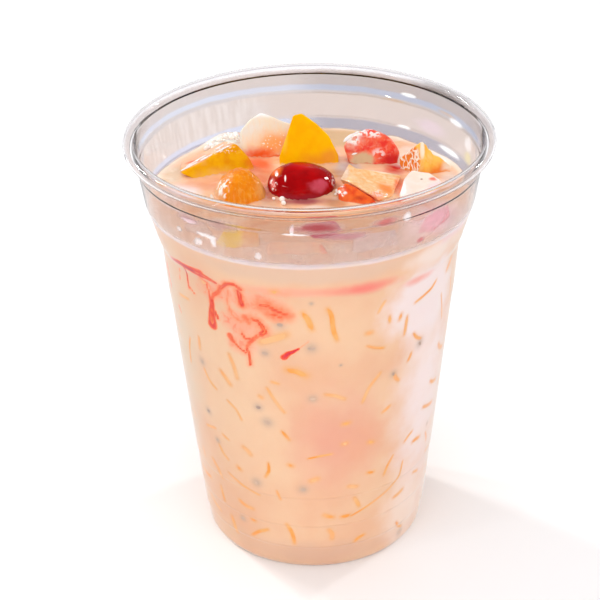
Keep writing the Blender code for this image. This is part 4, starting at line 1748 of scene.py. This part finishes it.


# Patches are rows of Patch. Glints, which are painted highlights, and sacs are too, without the colour.
FRUIT = (
    CutFruit(
        "mango_wedge", Slot.MANGO, 1.3, (0.4, 5.6, -2), (
            (-4.5, 21.5, 115), (-2, 22, 115.5), (2, 21.5, 112.5), (5.5, 20.5, 109), (8, 18.5, 104),
            (8, 16, 98), (-8, 15, 98), (-8.5, 17.5, 104)),
        Flesh(
            "mango_flesh", (255, 192, 0), (254, 182, 0), (
                ((-6.8, 20.5, 109), (1.3, 4, 8), (255, 218, 90), 0.5, 0.7, 0.1),
                ((2.5, 17.5, 102.6), (8.5, 5, 3.6), (246, 160, 34), 0.85, 0.9, 0.3),
                ((5.5, 17.8, 104), (3.6, 4, 3), (243, 156, 46), 0.9, 0.8, 0.3)),
            grain=0.02, swell=0.06, film=0.6, gloss=0.35, shine=0.03, wet=0.03),
        taper=0.9, edge=0.4, reliefs=(Relief(0.25, (7, 7, 7)),)),
    CutFruit(
        "peach_wedge", Slot.PEACH, 2.1, (-3, 8, -1), (
            (-35.5, 9.5, 103.5), (-28.5, 14, 105.5), (-20, 19.5, 107.5), (-16, 17, 104), (-13, 12.5, 99),
            (-26, 9, 99)),
        Flesh(
            "peach_flesh", (238, 172, 0), (228, 148, 0), (
                ((-24, 11, 101.4), (13, 5, 3.2), (244, 184, 80), 0.9, 0.8, 0.4),
                ((-15.5, 15.6, 103.3), (2.6, 4, 4), (238, 120, 30), 0.7, 0.8, 0.4),
                ((-32, 17.5, 103.8), (7, 5.6, 3), (236, 178, 144), 1, 0.3, 0.2),
                ((-25, 21.5, 105.8), (6, 4.8, 3), (240, 190, 156), 1, 0.3, 0.2),
                ((-31, 16.4, 103.4), (4, 1.2, 1.2), (232, 84, 36), 0.9, 0.6, 0.4)),
            glints=(((-25.5, 18.4, 106.4), (7, 2.6, 1.6), 0.8, 0.5, 0.4),), glint_size=0.6,
            glint_level=0.54, fibre=(4, 3, 1), fibre_share=0.25, fibre_colour=(236, 136, 10), film=0.5,
            foot=(244, 166, 104), shine=0.06, wet=0.1),
        taper=0.8),
    CutFruit(
        "pear_chunk", Slot.PEAR, 3.2, (0.5, 6.5, -4.5), (
            (-19.5, 27.5, 108), (-16.5, 29, 111), (-13.5, 30, 112.5), (-4.6, 28.6, 109.4),
            (-6.8, 24.6, 102), (-13, 20.5, 98.5), (-19.5, 23, 101)),
        Flesh(
            "pear_flesh", (240, 233, 220), (240, 228, 206), (
                ((-12, 25, 103.6), (12, 8, 6), (246, 200, 142), 0.85, 1, 0.2),
                ((-9, 26, 104.8), (8, 7, 4.4), (247, 166, 90), 0.9, 0.9, 0.3),
                ((-13.5, 29.6, 112.6), (9, 6, 1.8), (252, 251, 248), 1, 0.7, 0.2),
                ((-14, 24, 102.4), (8, 6, 2.8), (240, 88, 8), 1, 0.9, 0.4)),
            glints=(((-9.5, 26, 105.6), (5, 5, 3.4), 0.9, 0.5, 0.3),), glint_size=0.7, glint_level=0.6,
            mottle=5, fibre=(1, 2, 6), fibre_share=0.2, fibre_colour=(250, 210, 156), film=0.4,
            foot=(236, 96, 22)),
        taper=0.8, edge=0.7),
    CutFruit(
        "strawberry_half", Slot.STRAWBERRY, 4.7, (0.5, 7, -5), (
            (9, 20, 106), (11, 22, 108.8), (16.5, 23, 110.3), (23, 21, 108), (25.8, 19, 105),
            (24, 16.5, 100), (11.8, 16, 100)),
        Flesh(
            "strawberry_flesh", (246, 104, 68), (236, 52, 36), (
                ((11.6, 21, 108.2), (4.2, 5, 3.6), (240, 190, 168), 0.9, 0.8, 0.8),
                ((14.2, 17.6, 103), (4.6, 4.4, 2.9), (216, 184, 142), 0.95, 0.5, 0.5),
                ((12, 17.4, 105.2), (1.6, 3, 1), (206, 40, 30), 0.8, 0.7, 0.5),
                ((22.5, 18, 102.8), (4.6, 4.4, 2.8), (204, 22, 16), 1, 0.8, 0.5)),
            glints=(
                ((11.8, 21.6, 108.6), (3.6, 4, 3), 1, 0.5, 0.5),
                ((17, 22, 109.4), (5, 4, 1.5), 0.8, 0.5, 0.6),
                ((19, 18.4, 104.6), (2.2, 3, 2), 0.6, 0.5, 0.6)),
            mottle=1.8, fibre_size=1.1, fibre_share=0.5, fibre_colour=(250, 152, 128), grain=0.16,
            swell=0.4, film=0.2, wet=0.7, foot=(214, 90, 60)),
        taper=0.7, edge=1.4, reliefs=(Relief(0.8, (5.2, 5.2, 5.2)), Relief(0.14, (1.6, 1.6, 1.6))),
        dents=(Dent((14.5, 18, 103), 2.8, 0.8),)),
    CutFruit(
        "orange_chunk", Slot.ORANGE, 5.5, (-6.3, 2.4, -5.5), (
            (30, 11.5, 111), (31.3, 11.8, 111), (34, 12.4, 107.2), (39.2, 13, 103), (38.2, 8.2, 100.8),
            (32.6, 8.8, 98)),
        Flesh(
            "orange_flesh", (253, 200, 92), (252, 184, 68), (
                ((34, 11.3, 101.8), (7, 4, 3.2), (238, 104, 14), 0.95, 0.9, 0.4),
                ((39, 11.6, 102.8), (3.6, 5, 3.4), (245, 214, 188), 1, 0.6, 0.3),
                ((25.9, 13.6, 104.5), (5.9, 5, 7), (236, 132, 50), 1, 0.2, 0.1),
                ((30.6, 11.8, 108.2), (0.9, 2, 4.4), (253, 240, 222), 0.9, 0.5, 0.2)),
            sacs=(((25.9, 13.6, 104.5), (5.9, 5, 7), 1, 0.2, 0.1),), fibre=(1.5, 1, 3.5), fibre_size=0.9,
            fibre_share=0.3, fibre_colour=(254, 222, 164), grain=0.1, foot=(242, 142, 58)),
        taper=0.9, edge=0.35),
    CutFruit(
        "papaya_slab", Slot.PAPAYA, 6.4, (0.3, 1.5, -2.2), (
            (8, 0, 105.5), (10.5, 6.5, 107.5), (12.5, 5, 106.5), (24.8, 7.5, 103), (22, -4, 102.3),
            (18, -8, 103.2), (11, -3.8, 106.2)),
        Flesh(
            "papaya_flesh", (243, 198, 144), (242, 178, 110), (
                ((9, 2, 106.4), (2.4, 5.4, 2.2), (224, 188, 156), 0.85, 0.5, 0.4),
                ((17, 6.2, 105), (9, 1.2, 2), (250, 232, 206), 0.8, 0.6, 0.4),
                ((20.5, -1.5, 103), (5, 5, 2), (242, 130, 40), 0.9, 0.9, 0.4),
                ((18, -6, 103.5), (3, 2.4, 2), (246, 146, 106), 0.9, 0.7, 0.4),
                ((23.6, 1.5, 102.6), (1.6, 6, 2), (236, 96, 46), 0.8, 0.8, 0.3),
                ((10.5, -3.8, 103.8), (4, 2.4, 1.8), (238, 92, 30), 1, 0.3, 0.1),
                ((14.5, -6, 102.5), (3.4, 2.2, 1.8), (232, 72, 20), 1, 0.3, 0.1),
                ((17.8, -8.2, 101.4), (3, 2, 1.7), (238, 100, 36), 1, 0.3, 0.1)),
            glints=(
                ((9.4, 2, 106.8), (1.4, 5, 1.4), 0.3, 0.5, 0.4),
                ((18.5, -5, 104), (4, 2.6, 1.2), 0.4, 0.5, 0.4)),
            glint_size=0.7, mottle=1.2, fibre=(3, 2, 2), fibre_share=0.45, fibre_colour=(251, 230, 196),
            grain=0.1, swell=0.25, film=0.2, wet=0.8),
        taper=0.95, edge=0.3),
    # Red papaya: the dark red line just under the slab's edge is a painted shadow.
    CutFruit(
        "red_papaya_chunk", Slot.RED_PAPAYA, 7.7, (1, 3.5, -6), (
            (7, -4.4, 105.2), (9.6, -4.9, 107), (13, -6.5, 105.8), (16.3, -8.5, 104.4),
            (18.4, -10.1, 102.8), (11.5, -10.5, 98.5), (8, -8.6, 98.5)),
        Flesh(
            "red_papaya_flesh", (246, 112, 34), (232, 76, 18), (
                ((12, -8.5, 101.6), (6, 4, 1.6), (240, 130, 80), 0.8, 0.9, 0.4),
                ((9, -5, 104.4), (2, 2, 1.6), (246, 140, 110), 0.7, 0.8, 0.5),
                ((14.5, -7.2, 103.5), (4, 1.4, 0.9), (176, 20, 10), 0.7, 0.7, 0.3)),
            glints=(((8.6, -5.4, 104.6), (2, 2, 1.4), 1, 0.4, 0.4),), mottle=1.6, grain=0.14, swell=0.3,
            film=0.3, foot=(240, 140, 90), wet=0.8),
        taper=0.85, edge=0.4),
    # Apple: the white strip along its left edge is a painted highlight.
    CutFruit(
        "apple_chunk", Slot.APPLE, 8.9, (0.3, 1, -6), (
            (25.4, 4, 103.5), (27.4, 8.2, 104.2), (32.5, 7, 104), (35.5, 2.5, 103.4), (33.5, -4.5, 103.2),
            (24, -9, 103.2), (23.4, -5, 103.3)),
        Flesh(
            "apple_flesh", (238, 224, 212), (236, 216, 200), (
                ((33.5, -2, 103), (3, 7, 2), (240, 206, 214), 0.8, 0.8, 0.3),
                ((33, 3.2, 103.4), (1.5, 1.8, 1.2), (232, 96, 66), 0.9, 0.7, 0.4),
                ((30, 3.1, 103.5), (0.55, 0.6, 0.6), (128, 92, 76), 0.9, 0.7, 0.1),
                ((24.4, -1, 103.6), (1.5, 8, 1.2), (255, 252, 248), 0.95, 0.6, 0.4),
                ((30, 7.6, 104.2), (5, 0.9, 0.8), (255, 252, 248), 0.9, 0.6, 0.4),
                ((34.6, 4.4, 103.8), (1.4, 2.4, 0.8), (255, 252, 248), 0.9, 0.6, 0.4)),
            film=0.3)),
    CutFruit(
        "yellow_chunk", Slot.PEACH, 9.1, (1, 3.5, -7), (
            (-21.5, -26, 105.5), (-13, -27, 104.2), (-12.6, -34.5, 101.8), (-17.5, -34.5, 101.8),
            (-24.2, -31.5, 103)),
        Flesh(
            "yellow_flesh", (242, 180, 96), (238, 162, 84), (
                ((-20.6, -29.5, 103.8), (4.6, 8, 3.6), (250, 204, 22), 1, 0.5, 0.3),
                ((-17, -26.3, 105.2), (6, 1.2, 1), (250, 210, 60), 0.9, 0.7, 0.3)),
            film=0.2)),
    CutFruit(
        "pale_peach_chunk", Slot.PALE, 10.3, (0.5, 3, -6),
        ((-11, -32, 103.8), (2.5, -32, 104), (5.2, -37.8, 102.8), (-11.5, -37.8, 102.8)), Flesh(
            "pale_peach_flesh", (244, 196, 156), (246, 182, 144), (
                ((-3.5, -31.8, 104.2), (9, 1, 0.8), (252, 232, 214), 0.9, 0.6, 0.4),
                ((3.5, -35, 103.4), (2, 4, 2), (250, 150, 120), 0.8, 0.7, 0.3)),
            film=0.1),
        taper=0.9, edge=1),
    CutFruit(
        "pale_cube", Slot.PALE, 11.2, (-0.5, 3.5, -6),
        ((10.5, -29.5, 104), (21.5, -27, 104.2), (22.5, -33.5, 102.6), (10.5, -37, 102.6)), Flesh(
            "pale_cube_flesh", (232, 206, 196), (226, 194, 184),
            (((21, -28.5, 103.8), (2, 2, 2), (205, 180, 182), 0.6, 0.8, 0.3),), film=0.2),
        taper=0.9),
    CutFruit(
        "jelly_piece", Slot.JELLY, 12.8, (1.5, 2.5, -5.5),
        ((-33, -20.5, 103.5), (-28, -19, 104.2), (-24.8, -25, 103), (-26.5, -27, 102.6), (-32, -23, 102.8)),
        Flesh("jelly_flesh", (232, 204, 184), (226, 190, 172), film=0, gloss=0.08, swell=0.4, wet=1),
        edge=1),
    CutFruit(
        "strawberry_slice", Slot.STRAWBERRY, 13.6, (-1, 2, -5),
        ((26.5, -27, 102.8), (29.5, -20, 104), (36, -13, 105), (36, -17.5, 103.5), (31, -25, 102.6)), Flesh(
            "slice_flesh", (238, 112, 132), (240, 148, 164),
            (((27.5, -26, 103), (2.8, 3.4, 2.2), (220, 34, 56), 1, 0.7, 0.3),), film=0)),
    CutFruit(
        "front_berry_piece", Slot.CHERRY, 14.4, (0.5, 2.5, -6),
        ((-2, -24, 104.5), (6.5, -23, 104.8), (9.3, -27.5, 103), (0.5, -29, 102.8)), Flesh(
            "front_berry_flesh", (206, 62, 100), (194, 44, 84), (
                ((2, -29, 102.6), (6, 2.4, 1), (222, 110, 136), 0.8, 0.9, 0.4),
                ((8.8, -27, 103), (3.6, 3, 2), (220, 130, 154), 0.9, 0.9, 0.4),
                ((0, -24.2, 104.6), (4, 1.2, 0.8), (206, 24, 56), 0.9, 0.8, 0.4)),
            film=0.7),
        edge=1.2),
    # Cherry: the brighter red top is painted light, the pink and white streaks at its left and the glints
    # are painted highlights, and the magenta patch at its front right is a painted reflection.
    RoundFruit(
        "cherry", Slot.CHERRY, 3, (9.2, 7.6, 5.6), (-2.2, 2.6, 103), 0,
        (Relief(0.5, (7, 7, 7)), Relief(0.14, (2.6, 2.6, 2.6))), Flesh(
            "cherry_flesh", (174, 0, 4), (146, 0, 4), (
                ((-2.2, -4.6, 102.4), (11, 4, 1.8), (168, 44, 56), 0.9, 0.9, 0.3),
                ((-2, 3, 108.6), (6, 4, 2), (204, 6, 6), 0.7, 0.9, 0.3),
                ((-2.2, 7.6, 106), (8, 3, 1.6), (236, 96, 40), 0.8, 0.8, 0.3),
                ((-9, 2.6, 106.8), (3.4, 3.4, 1.8), (236, 110, 36), 0.9, 0.7, 0.5),
                ((2.4, -3.4, 105.2), (3.2, 2.8, 2.2), (204, 80, 98), 0.85, 0.7, 0.8),
                ((-9.8, -0.4, 104.6), (1.2, 3, 2), (244, 140, 130), 0.8, 0.8, 0.5),
                ((-6.5, -1.6, 106.8), (0.3, 1.4, 1.2), (255, 236, 232), 1, 0.5, 0.1),
                ((-8.8, 1.6, 106.6), (0.7, 1.8, 0.9), (255, 220, 212), 0.9, 0.6, 0.5)),
            mottle=5, glints=(
                ((-9.7, -1, 104.6), (1.3, 3, 2), 1, 0.4, 0.4),
                ((6.4, 1, 104.4), (1.2, 3, 2), 0.5, 0.4, 0.4)),
            glint_size=0.9, glint_level=0.5, grain=0.02, swell=0.1, film=0.15, gloss=0.1, shine=0.05,
            wet=0.22, soft=0, foot=(160, 40, 60))),
    RoundFruit(
        "orange_segment", Slot.ORANGE, 6, (7.2, 7.6, 8.6), (-18.7, -0.8, 100.2), 12,
        (Relief(0.6, (6, 6, 9)), Relief(0.3, (1.1, 1.1, 9))), Flesh(
            "segment_flesh", (234, 136, 0), (228, 124, 0), (
                ((-12.6, -2, 104), (3, 6, 5), (228, 162, 90), 0.8, 0.7, 0.4),
                ((-24.2, -2, 103), (3.6, 6, 4.4), (230, 178, 130), 0.9, 0.6, 0.4)),
            glints=(((-22.8, -3.4, 105), (2.4, 4, 4.6), 0.85, 0.5, 0.7),), fibre=(1, 1, 7), fibre_size=0.7,
            fibre_share=0.35, fibre_colour=(242, 184, 88), grain=0.1, film=0.6, glint_level=0.5, shine=0.08,
            wet=0.4)),
)

# Tones in the drink: rows of Patch, the lowest layer first.
MILK_PATCHES = (
    ((-22, -30, 55), (22, 18, 46), (247, 208, 168), 0.7, 0.9),
    ((6, -34, 46), (18, 16, 24), (236, 162, 134), 0.85, 0.9),
    ((13, -34, 44), (9, 12, 14), (240, 170, 134), 0.7, 0.9),
    # The pale patches on the right side of the body are partly the milk's own paler tone and partly painted
    # light, lightening that side against its shade.
    ((32, -24, 46), (15, 24, 60), (251, 230, 225), 0.95, 0.8),
    ((25, -20, 12), (12, 16, 18), (252, 226, 208), 0.85, 0.8),
    ((-36, -14, 60), (12, 18, 50), (230, 202, 170), 0.95, 0.9),
    ((29.5, -26, 83), (17, 18, 15), (250, 230, 226), 0.95, 0.5),
    ((0, -38, 99.5), (40, 22, 4.4), (230, 192, 164), 0.8, 0.6),
    ((31, -27, 98), (12, 15, 5), (250, 226, 212), 0.95, 0.7),
    ((0, -28, 5), (34, 22, 7), (226, 180, 150), 0.9, 0.9),
    ((-4, -39, 93.6), (24, 12, 2.4), (252, 170, 140), 0.85, 0.9),
    ((13, -38, 93.6), (15, 9, 3), (249, 130, 110), 1, 0.9),
    ((27, -29, 90.8), (8, 8, 2.2), (250, 172, 156), 0.9, 0.9),
    ((-20, -34, 90), (8, 8, 4.5), (252, 186, 158), 0.8, 0.9),
    ((-11, -37, 89), (8, 8, 4.5), (252, 166, 134), 0.8, 0.9),
    ((-17, -35, 81), (9, 8, 6), (252, 176, 146), 0.75, 0.9),
    ((-16, -34, 74.8), (6, 8, 4.5), (252, 190, 156), 0.7, 0.9),
    ((-35, 0, 102), (8, 10, 4), (238, 222, 222), 0.95, 0.7),
    ((-37.5, 12.5, 102.5), (6, 10, 4), (222, 192, 160), 0.95, 0.7),
    # On the surface, the brownish patches between the cherry, segment and peach are painted shade with
    # reflected fruit colour, and the dark wine patch at the cherry's front is a painted shadow.
    ((-26, 6, 102), (11, 6, 4), (226, 150, 110), 0.9, 0.8),
    ((-30, 20, 103), (9, 7, 4), (238, 192, 142), 0.95, 0.8),
    ((-22.5, 26, 103.5), (5, 5, 4), (234, 192, 148), 0.9, 0.8),
    ((-13, 9, 102), (6, 9, 4), (226, 120, 70), 0.9, 0.8),
    ((-3, 11.8, 102), (9, 3, 4), (232, 136, 60), 0.9, 0.8),
    ((-12, 0, 102), (4, 9, 4), (214, 110, 80), 0.85, 0.8),
    ((-14.5, 18, 102.5), (7, 8, 4), (236, 92, 42), 0.95, 0.7),
    ((9, 10, 102), (8, 7, 4), (200, 142, 104), 0.9, 0.8),
    ((10.5, 15.5, 102), (5, 5, 4), (214, 188, 182), 0.9, 0.7),
    ((7, 3, 102), (3, 6, 4), (222, 124, 70), 0.8, 0.8),
    ((22, 11.5, 102), (9, 4, 4), (222, 160, 136), 0.8, 0.8),
    ((25, 14.6, 102), (6, 4.4, 4), (198, 26, 20), 1, 0.8),
    ((24, 2, 102), (3, 8, 4), (232, 100, 66), 0.8, 0.8),
    ((7, -8, 102), (4, 4, 4), (210, 146, 100), 0.95, 0.7),
    ((-2.5, -6, 102), (10, 3, 4), (160, 60, 80), 0.85, 0.8, 0.5),
    ((1, -10.5, 102), (6, 3, 4), (236, 222, 204), 0.9, 0.7),
    ((-16, -12, 102), (12, 5, 4), (222, 186, 176), 0.8, 0.8),
    ((12, -15, 102), (8, 4, 4), (236, 190, 140), 0.8, 0.8),
    ((22, -11, 102), (7, 5, 4), (242, 160, 140), 0.7, 0.8),
    ((33, -18, 102), (14, 15, 4), (248, 214, 216), 0.95, 0.8),
    ((38, 4, 102), (5, 8, 4), (236, 206, 194), 0.95, 0.7),
    ((6, 36, 101.5), (24, 10, 6), (214, 176, 130), 0.95, 0.6),
    ((32, 22, 103), (12, 12, 5), (246, 232, 220), 0.85, 0.7),
    ((-24, 31.5, 104), (8.5, 6.5, 6), (230, 230, 220), 1, 0.6),
)

# Darker places in the syrup: rows of Patch.
SYRUP_PATCHES = (
    ((-34, -22, 93), (7.5, 12, 4.6), (208, 12, 42), 1, 0.4),
    ((-28, -27, 82), (1.6, 3, 1.6), (214, 12, 44), 1, 0.4),
    ((-6, -38.5, 75), (6, 4, 5), (226, 8, 44), 1, 0.3),
)


def main() -> None:
    logging.basicConfig(level=logging.INFO, format="%(name)s: %(message)s")
    Studio().build()
    cup = Cup()
    cup.build(PlasticFinish())
    fruit = [piece.build() for piece in FRUIT]
    vermicelli = Vermicelli(cup, Mottled("vermicelli", (250, 160, 62), (246, 178, 100), 9.0, 0.35))
    seeds = BasilSeeds(cup, Mottled("basil_seeds", (172, 142, 128), (196, 162, 142), 5.0, 0.5))
    milk = Milk(cup, MilkFinish(MILK_PATCHES))
    milk.build(fruit, vermicelli.laid(), seeds.laid())
    WallFilm(cup, FilmFinish()).build()
    vermicelli.build()
    SyrupStreaks(cup, Mottled("syrup", (252, 108, 34), (242, 62, 14), 4.0, 0.1, SYRUP_PATCHES)).build()
    seeds.build()
    # Cream white, which on the runs and bubbles also paints in their sheen and highlights.
    cream = Flesh("cream_runs", (255, 250, 245), (254, 238, 226), film=0.0, wet=1.0, shine=0.5)
    MilkRuns(cream).build()
    Drops(cream, milk).build()


if __name__ == "__main__":
    main()
